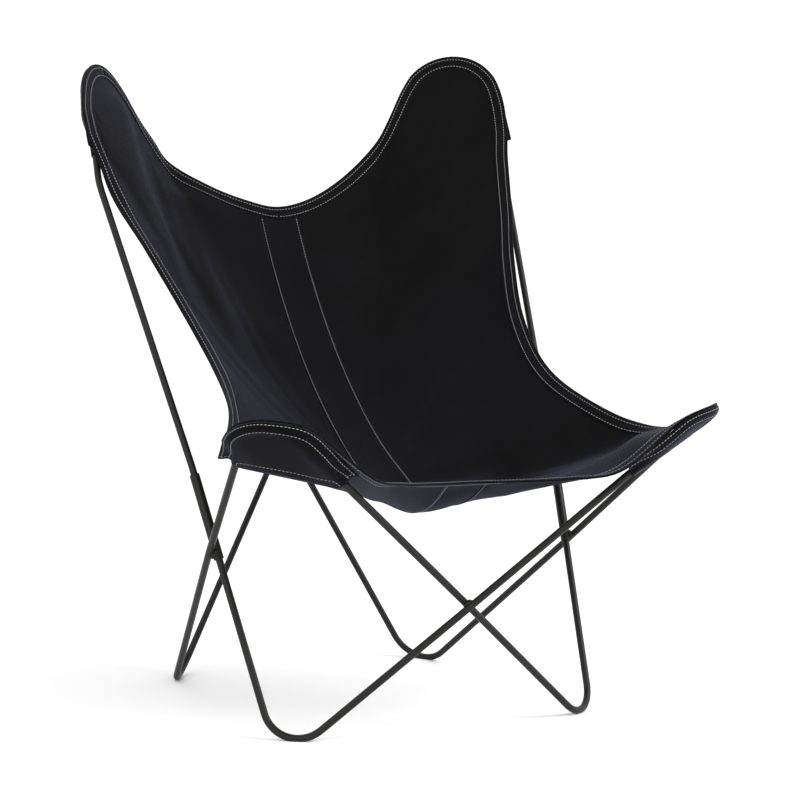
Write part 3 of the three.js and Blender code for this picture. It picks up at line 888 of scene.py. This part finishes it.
def canvas_weave_group():
    """Plain weave with slubs, a faded bloom and a little lint, for cloth laid out in metres."""
    name = "canvas_weave"
    if name in bpy.data.node_groups:
        return bpy.data.node_groups[name]
    inputs = (("Cloth", "Vector"), ("Pitch", "Float"), ("Thread", "Color"), ("Bloom", "Color"))
    group, wire, given, made = new_group(name, inputs)
    parts = wire.add("ShaderNodeSeparateXYZ")
    wire.join(given["Cloth"], parts.inputs[0])
    turns = [wire.math("DIVIDE", parts.outputs[axis], given["Pitch"]) for axis in (0, 1)]
    warp_wave, weft_wave = (wire.math("SINE", wire.math("MULTIPLY", turn, math.pi)) for turn in turns)
    warp = wire.math("ABSOLUTE", warp_wave)
    weft = wire.math("ABSOLUTE", weft_wave)
    over = wire.math("MULTIPLY_ADD", wire.math("MULTIPLY", warp_wave, weft_wave), CROSSING, 0.5, clamp=True)
    weave = wire.math("MULTIPLY_ADD", wire.math("SUBTRACT", weft, warp), over, warp)
    drawn, narrow = SLUB_STRETCH
    slub_warp, slub_weft = (
        wire.noise(wire.stretched(given["Cloth"], stretch), scale=1.0, detail=2.0)
        for stretch in ((drawn, narrow, 1), (narrow, drawn, 1))
    )
    slubs = wire.math("ADD", slub_warp, slub_weft)
    fading = wire.noise(given["Cloth"], scale=8.0, detail=6.0, roughness=0.62)
    bloom = wire.spread(fading, low=0.36, high=0.68)
    lint = wire.spread(wire.noise(given["Cloth"], scale=420.0, detail=2.0), low=0.70, high=0.80)
    tone = wire.math("MULTIPLY_ADD", slubs, SLUB_TONE, wire.math("MULTIPLY", bloom, BLOOM_TONE))
    tone = wire.math("MULTIPLY_ADD", weave, WEAVE_TONE, wire.math("SUBTRACT", tone, TONE_SHIFT))
    share = wire.math("MAXIMUM", tone, lint, clamp=True)
    wire.join(wire.mix(share, given["Thread"], given["Bloom"]), made["Colour"])
    wire.join(wire.spread(bloom, low=0.0, high=1.0, to_low=0.74, to_high=0.9), made["Roughness"])
    wire.join(wire.math("MULTIPLY_ADD", slubs, SLUB_RELIEF, weave), made["Height"])
    return group


def coat_grain_group():
    """Fine orange peel of a powder coat, with broad rubbed patches."""
    name = "coat_grain"
    if name in bpy.data.node_groups:
        return bpy.data.node_groups[name]
    inputs = (("Place", "Vector"), ("Coat", "Color"), ("Rubbed", "Color"), ("Grain", "Float"))
    group, wire, given, made = new_group(name, inputs)
    fine = wire.noise(given["Place"], given["Grain"], detail=2.0)
    broad = wire.noise(given["Place"], scale=26.0, detail=5.0, roughness=0.6)
    scuffs = wire.noise(given["Place"], scale=260.0, detail=3.0, roughness=0.7)
    patches = wire.spread(broad, low=0.42, high=0.72)
    rubbed = wire.math("MULTIPLY", patches, wire.spread(scuffs, low=0.40, high=0.70))
    wire.join(wire.mix(rubbed, given["Coat"], given["Rubbed"]), made["Colour"])
    worn = wire.spread(broad, low=0.3, high=0.7, to_low=0.30, to_high=0.44)
    wire.join(wire.math("MULTIPLY_ADD", fine, GRAIN_ROUGHNESS, worn), made["Roughness"])
    wire.join(fine, made["Height"])
    return group


def new_material(name):
    """A node material with its shader and wiring."""
    material = bpy.data.materials.new(name)
    material.use_nodes = True
    wire = Wiring(material.node_tree)
    return material, wire, material.node_tree.nodes["Principled BSDF"]


def dressed(wire, shader, group, place, values, strength, depth):
    """Places a group in a material and joins its colour, roughness and relief to the shader."""
    node = wire.add("ShaderNodeGroup", node_tree=group)
    wire.join(place, node.inputs[0])
    set_inputs(node, values)
    wire.join(node.outputs["Colour"], shader.inputs["Base Color"])
    wire.join(node.outputs["Roughness"], shader.inputs["Roughness"])
    wire.join(wire.relief(node.outputs["Height"], strength, depth), shader.inputs["Normal"])


def canvas_material(name, lighter=1.0):
    """Near-black canvas with a soft sheen."""
    if name in bpy.data.materials:
        return bpy.data.materials[name]
    cloth = bpy.context.scene.chair_cloth
    material, wire, shader = new_material(name)
    laid = wire.add("ShaderNodeUVMap", uv_map=CLOTH_MAP).outputs["UV"]
    values = {
        "Pitch": cloth.weave_pitch,
        "Thread": (*(lighter * part for part in cloth.thread_colour), 1),
        "Bloom": (*(lighter * part for part in cloth.bloom_colour), 1),
    }
    dressed(wire, shader, canvas_weave_group(), laid, values, strength=0.5, depth=0.0004)
    set_inputs(shader, {"Specular IOR Level": 0.02, "Sheen Weight": 0.15, "Sheen Roughness": 0.32})
    set_inputs(shader, {"Sheen Tint": (0.66, 0.71, 1.0, 1)})
    return material


def coat_material(name, grain, depth):
    """Satin grey-black powder coat."""
    if name in bpy.data.materials:
        return bpy.data.materials[name]
    sizes = bpy.context.scene.chair_frame
    material, wire, shader = new_material(name)
    place = wire.add("ShaderNodeTexCoord").outputs["Object"]
    values = {"Coat": (*sizes.coat_colour, 1), "Rubbed": (*sizes.rubbed_colour, 1), "Grain": grain}
    dressed(wire, shader, coat_grain_group(), place, values, strength=0.25, depth=depth)
    set_inputs(shader, {"Specular IOR Level": 0.2})
    return material


def thread_material():
    """Pale grey twisted sewing thread."""
    name = "sewing_thread"
    if name in bpy.data.materials:
        return bpy.data.materials[name]
    material, wire, shader = new_material(name)
    place = wire.add("ShaderNodeTexCoord").outputs["Object"]
    colour = bpy.context.scene.chair_stitch.colour
    tones = []
    for share in THREAD_TONES:
        tone = wire.add("ShaderNodeRGB")
        tone.outputs[0].default_value = (*(share * part for part in colour), 1)
        tones.append(tone.outputs[0])
    fleck = wire.spread(wire.noise(place, scale=900.0, detail=2.0), low=0.35, high=0.65)
    wire.join(wire.mix(fleck, *tones), shader.inputs["Base Color"])
    twist = wire.add("ShaderNodeTexWave")
    wire.join(place, twist.inputs["Vector"])
    set_inputs(twist, {"Scale": 500.0})
    wire.join(wire.relief(twist.outputs["Fac"], strength=0.3, depth=0.0002), shader.inputs["Normal"])
    set_inputs(shader, {"Roughness": 0.62})
    return material


class CHAIR_OT_rods(Operator):
    """Bend the two base rods and the two back hairpins."""

    bl_idname = "chair.rods"
    bl_label = "Bend the rods"

    def execute(self, context):
        sizes = context.scene.chair_frame
        chair = RodFrame(sizes)
        floor = -chair.origin().z
        coat = coat_material("powder_coat_rod", grain=1300.0, depth=0.00006)
        for side, word in SIDES.items():
            base = bent_rod(chair.base[side], chair.rod, sizes.rod_sides)
            cut_away(base, (0, 0, floor), (0, 0, -1))
            close_holes(base)
            new_piece(base, "bent_base_rod_" + word, coat, ["base_rod_" + word], SHARP_ANGLE)
            pin = bent_rod(chair.hairpin[side], chair.rod, sizes.rod_sides)
            new_piece(pin, "bent_hairpin_" + word, coat, ["back_hairpin_" + word], SHARP_ANGLE)
        return {"FINISHED"}


class CHAIR_OT_sleeves(Operator):
    """Turn the four sleeves that the hairpins plug into."""

    bl_idname = "chair.sleeves"
    bl_label = "Turn the sleeves"

    def execute(self, context):
        chair = RodFrame(context.scene.chair_frame)
        coat = coat_material("powder_coat_sleeve", grain=1500.0, depth=0.00005)
        for side, word in SIDES.items():
            posts = chair.posts[side]
            for place, foot, way in (
                ("side", posts.sleeve_foot, posts.post),
                ("rear", posts.rear_sleeve_foot, posts.rear_post),
            ):
                node = place + "_sleeve_" + word
                tube = self.tube(chair, foot, way)
                new_piece(tube, "tube_" + node, coat, [node], SHARP_ANGLE)
        return {"FINISHED"}

    def tube(self, chair, foot, way):
        bm = bmesh.new()
        bore = chair.rod + FIT_GAP
        section = (
            Vector((bore, 0, 0)),
            Vector((chair.sleeve, 0, 0)),
            Vector((chair.sleeve, 0, chair.sleeve_length)),
            Vector((bore, 0, chair.sleeve_length)),
        )
        corners = [bm.verts.new(point) for point in section]
        wall = [bm.edges.new((corners[k - 1], corners[k])) for k in range(4)]
        bmesh.ops.spin(
            bm,
            geom=corners + wall,
            cent=(0, 0, 0),
            axis=(0, 0, 1),
            angle=2 * math.pi,
            steps=SLEEVE_SIDES,
            use_merge=True,
        )
        bmesh.ops.remove_doubles(bm, verts=bm.verts, dist=MERGE_GAP)
        bmesh.ops.recalc_face_normals(bm, faces=bm.faces)
        rims = [edge for edge in bm.edges if edge.calc_face_angle(0) > RIM_ANGLE]
        bmesh.ops.bevel(
            bm,
            geom=rims,
            offset=RIM_BEVEL,
            offset_type="OFFSET",
            segments=3,
            profile=0.5,
            affect="EDGES",
            material=-1,
        )
        turn = way.to_track_quat("Z", "Y").to_matrix().to_4x4()
        bmesh.ops.transform(bm, matrix=Matrix.Translation(foot) @ turn, verts=bm.verts)
        return bm


class CHAIR_OT_welds(Operator):
    """Lay the weld beads where rods cross."""

    bl_idname = "chair.welds"
    bl_label = "Lay the weld beads"

    def execute(self, context):
        chair = RodFrame(context.scene.chair_frame)
        coat = coat_material("powder_coat_bead", grain=900.0, depth=0.00012)
        for node in ("front_weld", "rear_weld", "side_weld_right", "side_weld_left"):
            bm = bmesh.new()
            bm.from_mesh(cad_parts[node].data)
            bmesh.ops.translate(bm, vec=-chair.origin(), verts=bm.verts)
            bmesh.ops.remove_doubles(bm, verts=bm.verts, dist=MERGE_GAP)
            bmesh.ops.subdivide_edges(bm, edges=bm.edges, cuts=1, use_grid_fill=True)
            bmesh.ops.smooth_vert(
                bm, verts=bm.verts, factor=BEAD_SMOOTHING, use_axis_x=True, use_axis_y=True, use_axis_z=True
            )
            bm.normal_update()
            for vert in bm.verts:
                vert.co += vert.normal * (BEAD_SWELL + BEAD_RIPPLE * noise.noise(vert.co * RIPPLE_SCALE))
            new_piece(bm, "bead_" + node, coat, [node])
        return {"FINISHED"}


def turn_to(bm, way):
    """Turns a sheet over if it faces away from a way."""
    bm.normal_update()
    if sum((face.normal * face.calc_area() for face in bm.faces), Vector()).dot(way) < 0:
        bmesh.ops.reverse_faces(bm, faces=bm.faces)


def sling_sheet(sling):
    """The whole sling as one sheet: a grid of spokes and rings, closed round the hub and at the neck."""
    bm = bmesh.new()
    bmesh.ops.create_grid(bm, x_segments=EDGE_STATIONS, y_segments=RINGS, size=1.0)
    inner_rings = RINGS - EDGE_RINGS
    for vert in bm.verts:
        station = round((vert.co.x + 1) / 2 * EDGE_STATIONS)
        ring = round((vert.co.y + 1) / 2 * RINGS)
        if ring > inner_rings:
            span, w = sling.chart(station, sling.band_width * (RINGS - ring) / EDGE_RINGS)
        else:
            share = ring / inner_rings
            inner_span, inner_w = sling.inner[station]
            outer_span = sling.stations[station]
            span = outer_span + (inner_span - outer_span) * share
            w = inner_w * share
        vert.co = sling.at(span, w)
    bmesh.ops.remove_doubles(bm, verts=bm.verts, dist=HUB_MERGE_GAP)
    turn_to(bm, HUB_UP)
    return bm


def lay_flat(bm, flat_of):
    """A map in metres, from where each point lies on the flat cloth."""
    layer = bm.loops.layers.uv.new(CLOTH_MAP)
    for face in bm.faces:
        for loop in face.loops:
            loop[layer].uv = flat_of(loop.vert)


def cloth_grid(columns, rows, lay):
    """A grid of cloth: lay tells, from a share along it and a row, where it hangs and where it lies flat."""
    bm = bmesh.new()
    bmesh.ops.create_grid(bm, x_segments=columns, y_segments=rows, size=1.0)
    flat = {}
    for vert in bm.verts:
        row = round((vert.co.y + 1) / 2 * rows)
        vert.co, flat[vert] = lay((vert.co.x + 1) / 2, row)
    lay_flat(bm, lambda vert: flat[vert])
    bmesh.ops.recalc_face_normals(bm, faces=bm.faces)
    return bm


def seat_profile(sling):
    """Depths along the middle of the sling from its front edge, and the distances walked to them."""
    front = [(0, 1 - k / PROFILE_STEPS) for k in range(PROFILE_STEPS)]
    back = [(sling.spans, k / PROFILE_STEPS) for k in range(PROFILE_STEPS + 1)]
    places = [sling.at(span, w) for span, w in front + back]
    return [place.y for place in places], walked(places)


def flat_size(bm):
    """Width, length and area of a sheet as it was cut."""
    layer = bm.loops.layers.uv[CLOTH_MAP]
    spots = [loop[layer].uv for face in bm.faces for loop in face.loops]
    width, length = (max(spot[axis] for spot in spots) - min(spot[axis] for spot in spots) for axis in (0, 1))
    area = sum(face.calc_area() for face in bm.faces)
    if area > width * length:
        length = area / width
    return width, length, area


def new_sheet(bm, name, material, nodes, thickness, rests_on):
    """A sheet of cloth with its thickness; the size it was cut to is worked out but not used."""
    width, length, area = flat_size(bm)
    piece = new_piece(bm, name, material, nodes)
    wall = piece.modifiers.new("thickness", "SOLIDIFY")
    wall.thickness = thickness
    wall.offset = 0.0
    wall.use_even_offset = True
    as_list(rests_on)


class CHAIR_OT_panels(Operator):
    """Hang the two canvas panels and the centre strip."""

    bl_idname = "chair.panels"
    bl_label = "Hang the sling"

    def execute(self, context):
        cloth = context.scene.chair_cloth
        sling = hung_sling(context)
        canvas = canvas_material("woven_canvas")
        depths, distances = seat_profile(sling)
        seam = cloth.strip_width / 2
        whole = sling_sheet(sling)
        lay_flat(whole, lambda vert: (vert.co.x, looked_up(depths, distances, vert.co.y)))
        horns = ["bent_base_rod_right", "bent_base_rod_left", "bent_hairpin_right", "bent_hairpin_left"]
        for side, word in SIDES.items():
            panel = whole.copy()
            cut_away(panel, (side * (seam - STRIP_LAP), 0, 0), (-side, 0, 0))
            name = "sling_canvas_" + word
            node = "sling_panel_" + word
            new_sheet(panel, name, canvas, [node], cloth.cloth_thickness, horns)
        strip = whole
        for side in SIDES:
            cut_away(strip, (side * seam, 0, 0), (side, 0, 0))
        strip.normal_update()
        proud = cloth.cloth_thickness + STRIP_GAP
        ends = [looked_up(depths, distances, sling.edge(span).y) for span in (0, sling.spans)]
        for vert in strip.verts:
            from_ends = min(abs(looked_up(depths, distances, vert.co.y) - end) for end in ends)
            share = min(max((from_ends - cloth.band_width) / STRIP_EASE, 0), 1)
            vert.co += vert.normal * proud * share
        name = "sling_centre_strip"
        panels = ["sling_canvas_right", "sling_canvas_left"]
        new_sheet(strip, name, canvas, ["centre_strip"], cloth.cloth_thickness, panels)
        return {"FINISHED"}


def tape_section(cloth):
    """Across the folded band: inset from the edge and height over the cloth, upper leg first."""
    height = cloth.cloth_thickness / 2 + TAPE_GAP + cloth.band_thickness / 2
    upper = [(cloth.band_width * share, height) for share in TAPE_SHARES]
    turn = [(-height * math.sin(angle), height * math.cos(angle)) for angle in TAPE_TURN]
    lower = [(inset, -lift) for inset, lift in upper + turn[:-1]]
    return upper + turn + lower[::-1]


class CHAIR_OT_bands(Operator):
    """Fold the tape bands round the sling's edge."""

    bl_idname = "chair.bands"
    bl_label = "Fold the edge bands"

    def execute(self, context):
        cloth = context.scene.chair_cloth
        sling = hung_sling(context)
        tape = canvas_material("woven_tape", TAPE_LIGHTER)
        front, ear, around = sling.front_tip, sling.ear_tip, 2 * sling.spans
        right, left = "sling_canvas_right", "sling_canvas_left"
        runs = (
            ("front_binding", -front, front, [right, left]),
            ("side_binding_right", front, ear, [right]),
            ("side_binding_left", -ear, -front, [left]),
            ("neck_binding", ear, around - ear, [right, left]),
        )
        for node, start, end, on in runs:
            band = self.folded(sling, tape_section(cloth), start, end)
            name = "band_" + node.replace("_binding", "")
            new_sheet(band, name, tape, [node], cloth.band_thickness, on)
        return {"FINISHED"}

    def folded(self, sling, section, start, end):
        first = sling.station_of(start)
        last = sling.station_of(end)
        step = sling.edge_length / EDGE_STATIONS
        across = [0.0]
        for (a, b), (c, d) in zip(section, section[1:]):
            across.append(across[-1] + math.hypot(c - a, d - b))

        def lay(share, row):
            station = first + (last - first) * share
            place = sling.near_edge(station % EDGE_STATIONS, *section[row])
            return place, (station * step, across[row])

        return cloth_grid(math.ceil(last - first), len(section) - 1, lay)


class Pocket:
    """One pocket: sewn under the band, drawn round the horn's rod and across to a straight mouth."""

    def __init__(self, sling, cloth, bend, reach, slack, standoff, puff):
        self.sling = sling
        self.bend = bend
        self.before, self.after = reach
        self.slack = slack
        self.hug = sling.chair.rod + POCKET_ROD_GAP + cloth.pocket_thickness / 2
        self.depth = self.hug + puff
        band = cloth.cloth_thickness / 2 + POCKET_TAPE_GAP + cloth.band_thickness
        sewn = sling.lift + standoff - band - cloth.pocket_thickness / 2
        self.mouth_ends = [self.mouth_end(distance) for distance in reach]
        self.section = [(FLANGE * out, sewn * up) for out, up in POCKET_SECTION]
        self.section += [(self.hug * math.cos(angle), -self.hug * math.sin(angle)) for angle in POCKET_TURN]
        self.last = len(self.section) - 1
        angles = [math.pi / 2 * k / self.last for k in range(self.last + 1)]
        drop = sewn + self.depth
        self.slack_section = [(FLANGE * math.cos(angle), sewn - drop * math.sin(angle)) for angle in angles]
        taper = (self.before + PUFF_TAPER, self.after - PUFF_TAPER)
        self.puffed = (self.before, *taper, self.after)

    def along(self, share):
        """The distance along the rod at a share of the pocket's length."""
        return self.before + (self.after - self.before) * share

    def mouth_end(self, distance):
        """An end of the mouth, on the inner side of the rod and under it."""
        at, out, _ = self.bend.run(distance)
        return at - out * MOUTH_INSET * self.hug - self.bend.face * self.hug

    def rows(self):
        """Steps across the cloth, from its rim to its mouth."""
        return self.last + POCKET_SPREAD

    def down(self, distance, length):
        """The place a length down the pocket's cloth from its rim."""
        here = self.at(distance, 0)
        for row in range(1, self.last + 1):
            onward = self.at(distance, row) - here
            if onward.length >= length:
                return here + onward.normalized() * length
            length -= onward.length
            here += onward
        return here

    def at(self, distance, row):
        """The place at a distance along the rod and a row of the cloth."""
        place, out, angle = self.bend.run(distance)
        loose = window(distance, self.puffed)
        if row <= self.last:
            reach, up = Vector(self.section[row]).lerp(Vector(self.slack_section[row]), loose)
            share = reach / FLANGE
            reach += self.slack * math.cos(angle) * share
            place = place + out * reach + self.bend.face * up
            return place + self.sling.give(place) + self.sling.flare(place, 0, FLANGE) * POCKET_FLARE
        under = place - self.bend.face * (self.hug + (self.depth - self.hug) * loose)
        along = (distance - self.before) / (self.after - self.before)
        mouth = self.mouth_ends[0].lerp(self.mouth_ends[1], along)
        return under.lerp(mouth, (row - self.last) / POCKET_SPREAD)


def pockets_of(context):
    """The four pockets with their node names and rods."""
    cloth = context.scene.chair_cloth
    sling = hung_sling(context)
    horn, ear = sling.chair.horn, sling.chair.ear
    for side, word in SIDES.items():
        front = (horn[side], FRONT_POCKET_REACH, TIP_SLACK[side], FRONT_STANDOFF, FRONT_PUFF)
        yield "front_pocket_" + word, "bent_base_rod_" + word, Pocket(sling, cloth, *front)
        back = (ear[side], EAR_POCKET_REACH, 0, EAR_STANDOFF, EAR_PUFF)
        yield "back_pocket_" + word, "bent_hairpin_" + word, Pocket(sling, cloth, *back)


def pocket_sheet(pocket):
    """A pocket's cloth as a grid along the rod and across it."""

    def lay(share, row):
        distance = pocket.along(share)
        return pocket.at(distance, row), (distance, row * POCKET_ROW)

    bm = cloth_grid(POCKET_COLUMNS, pocket.rows(), lay)
    turn_to(bm, -pocket.bend.face)
    return bm


class CHAIR_OT_pockets(Operator):
    """Sew the four corner pockets over the horns."""

    bl_idname = "chair.pockets"
    bl_label = "Sew the pockets"

    def execute(self, context):
        thickness = context.scene.chair_cloth.pocket_thickness
        canvas = canvas_material("woven_canvas")
        for node, rod, pocket in pockets_of(context):
            bm = pocket_sheet(pocket)
            new_sheet(bm, "sewn_" + node, canvas, [node], thickness, [rod])
        return {"FINISHED"}


def evenly(places, step):
    """Places and ways at even distances along a line of (point, normal) pairs."""
    found = []
    left_over = step / 2
    for (start, normal), (end, _) in zip(places, places[1:]):
        length = (end - start).length
        while left_over < length:
            found.append((start.lerp(end, left_over / length), (end - start) / length, normal))
            left_over += step
        left_over -= length
    return found


def sew(rows, name, material, sizes):
    """One piece of thread: a small rounded stitch at every step of each row."""
    stitch = bmesh.new()
    bmesh.ops.create_uvsphere(stitch, u_segments=6, v_segments=4, radius=0.5)
    size = (sizes.thickness, sizes.thickness * STITCH_FLATNESS, sizes.length)
    bmesh.ops.scale(stitch, vec=size, verts=stitch.verts)
    pattern = mesh_of(stitch, name + "_pattern")
    bm = bmesh.new()
    for row in rows:
        for place, ahead, normal in evenly(row, sizes.length + sizes.gap):
            across = normal.cross(ahead).normalized()
            up = ahead.cross(across)
            turn = Matrix((across, up, ahead)).transposed().to_4x4()
            one = pattern.copy()
            one.transform(Matrix.Translation(place) @ turn)
            bm.from_mesh(one)
            bpy.data.meshes.remove(one)
    bpy.data.meshes.remove(pattern)
    new_piece(bm, name, material)


class CHAIR_OT_stitching(Operator):
    """Sew the rows of stitches on the bands, the strip and the pockets."""

    bl_idname = "chair.stitching"
    bl_label = "Sew the stitching"

    def execute(self, context):
        sizes = context.scene.chair_stitch
        cloth = context.scene.chair_cloth
        sling = hung_sling(context)
        thread = thread_material()
        face = cloth.cloth_thickness / 2 + TAPE_GAP + cloth.band_thickness
        for name, lift in (("stitches_band_upper", face), ("stitches_band_lower", -face)):
            rows = [self.band_row(sling, inset, lift) for inset in (sizes.outer_row, sizes.inner_row)]
            sew(rows, name, thread, sizes)
        sew(self.seam_rows(sling, cloth), "stitches_strip", thread, sizes)
        for node, _, pocket in pockets_of(context):
            sew(self.pocket_rows(pocket, cloth, sizes), "stitches_" + node, thread, sizes)
        return {"FINISHED"}

    def band_row(self, sling, inset, lift):
        row = []
        for station in range(EDGE_STATIONS + 1):
            span, w = sling.chart(station, inset)
            normal = sling.up(span, w) * math.copysign(1, lift)
            row.append((sling.at(span, w) + normal * abs(lift), normal))
        return row

    def seam_rows(self, sling, cloth):
        sheet = sling_sheet(sling)
        tree = BVHTree.FromBMesh(sheet)
        sheet.free()
        half = cloth.cloth_thickness / 2
        start, end = SEAM_RUN
        rows = []
        for side in (-1, 1):
            x = side * (cloth.strip_width / 2 - SEAM_INSET)
            for lift in (half + cloth.cloth_thickness, -half):
                row = []
                for k in range(SEAM_STEPS + 1):
                    y = start + (end - start) * k / SEAM_STEPS
                    spot, normal, _, _ = tree.ray_cast(Vector((x, y, ABOVE_CHAIR)), Vector((0, 0, -1)))
                    if spot:
                        up = normal if normal.dot(HUB_UP) > 0 else -normal
                        row.append((spot + up * lift, up * math.copysign(1, lift)))
                rows.append(row)
        return rows

    def pocket_rows(self, pocket, cloth, sizes):
        sheet = pocket_sheet(pocket)
        tree = BVHTree.FromBMesh(sheet)
        sheet.free()
        half = cloth.pocket_thickness / 2

        def on_cloth(point):
            spot, normal, _, _ = tree.find_nearest(point)
            return spot + normal * half, normal

        def near_mouth(distance):
            mouth = pocket.at(distance, pocket.rows())
            back = pocket.at(distance, pocket.last) - mouth
            return mouth + back.normalized() * min(HEM, back.length * HEM_LIMIT)

        shares = [ROW_MARGIN + (1 - 2 * ROW_MARGIN) * k / POCKET_STEPS for k in range(POCKET_STEPS + 1)]
        lengths = [pocket.along(share) for share in shares]
        end_lengths = (lengths[END_ROW], lengths[-1 - END_ROW])
        outer, inner = sizes.outer_row * POCKET_ROWS, sizes.inner_row * POCKET_ROWS
        insets = [inner * k / END_STEPS for k in range(1, END_STEPS + 1)]
        along = [[pocket.down(distance, inset) for distance in lengths] for inset in (outer, inner)]
        ends = [[pocket.down(distance, inset) for inset in insets] for distance in end_lengths]
        hem = [near_mouth(distance) for distance in lengths]
        return [[on_cloth(point) for point in row] for row in along + ends + [hem]]


class CHAIR_OT_stage(Operator):
    """Set the floor, the lights and the camera."""

    bl_idname = "chair.stage"
    bl_label = "Set the stage"

    def execute(self, context):
        stage = context.scene.chair_stage
        self.floor(stage)
        self.lights(context, stage)
        self.camera(context)
        context.scene.view_settings.view_transform = "Standard"
        return {"FINISHED"}

    def floor(self, stage):
        bm = bmesh.new()
        bmesh.ops.create_grid(bm, x_segments=8, y_segments=8, size=FLOOR_SIZE)
        material, _, shader = new_material("floor_paint")
        set_inputs(shader, {"Base Color": (*stage.floor_colour, 1), "Roughness": 0.9})
        set_inputs(shader, {"Specular IOR Level": 0.1})
        floor = placed("floor", mesh_of(bm, "floor", material))

    def lights(self, context, stage):
        world = bpy.data.worlds.new("white_surround")
        world.use_nodes = True
        surround = world.node_tree.nodes["Background"]
        set_inputs(surround, {"Color": (1, 1, 1, 1), "Strength": stage.surround})
        context.scene.world = world
        lamps = {"key_light": (*KEY_LIGHT, stage.key_power), "fill_light": (*FILL_LIGHT, stage.fill_power)}
        for name, (place, size, power) in lamps.items():
            light = bpy.data.lights.new(name, "AREA")
            light.shape = "SQUARE"
            light.size = size
            light.energy = power
            lamp = placed(name, light)
            lamp.location = place
            lamp.rotation_euler = (place - LIT_PLACE).to_track_quat("Z", "Y").to_euler()

    def camera(self, context):
        ahead = Vector((
            math.sin(CAMERA_YAW) * math.cos(CAMERA_PITCH),
            math.cos(CAMERA_YAW) * math.cos(CAMERA_PITCH),
            -math.sin(CAMERA_PITCH),
        ))
        level = Vector((math.cos(CAMERA_YAW), -math.sin(CAMERA_YAW), 0))
        upright = level.cross(ahead)
        right = level * math.cos(CAMERA_ROLL) + upright * math.sin(CAMERA_ROLL)
        up = upright * math.cos(CAMERA_ROLL) - level * math.sin(CAMERA_ROLL)
        lens = bpy.data.cameras.new("camera")
        lens.lens = CAMERA_LENS
        lens.sensor_width = SENSOR_WIDTH
        camera = placed("camera", lens)
        place = RodFrame(context.scene.chair_frame).origin() + CAMERA_PLACE
        camera.matrix_world = Matrix.Translation(place) @ Matrix((right, up, -ahead)).transposed().to_4x4()
        context.scene.camera = camera


class CHAIR_PT_sidebar(Panel):
    """The chair's settings and pieces."""

    bl_label = "Sling chair"
    bl_idname = "CHAIR_PT_sidebar"
    bl_space_type = "VIEW_3D"
    bl_region_type = "UI"
    bl_category = "Sling chair"

    def draw(self, context):
        for group, _ in SETTINGS:
            box = self.layout.box()
            settings = getattr(context.scene, group)
            for name in settings.__annotations__:
                box.prop(settings, name)
        for operator in OPERATORS:
            self.layout.operator(operator.bl_idname)


SETTINGS = (
    ("chair_frame", FrameSettings),
    ("chair_cloth", ClothSettings),
    ("chair_stitch", StitchSettings),
    ("chair_stage", StageSettings),
)
OPERATORS = (
    CHAIR_OT_rods,
    CHAIR_OT_sleeves,
    CHAIR_OT_welds,
    CHAIR_OT_panels,
    CHAIR_OT_bands,
    CHAIR_OT_pockets,
    CHAIR_OT_stitching,
    CHAIR_OT_stage,
)


def register():
    for name, group in SETTINGS:
        bpy.utils.register_class(group)
        setattr(bpy.types.Scene, name, PointerProperty(type=group))
    for operator in OPERATORS:
        bpy.utils.register_class(operator)
    bpy.utils.register_class(CHAIR_PT_sidebar)


def unregister():
    bpy.utils.unregister_class(CHAIR_PT_sidebar)
    for operator in reversed(OPERATORS):
        bpy.utils.unregister_class(operator)
    for name, group in reversed(SETTINGS):
        delattr(bpy.types.Scene, name)
        bpy.utils.unregister_class(group)


def main():
    register()
    for operator in OPERATORS:
        name = operator.bl_idname.split(".")[1]
        getattr(bpy.ops.chair, name)()


if __name__ == "__main__":
    main()
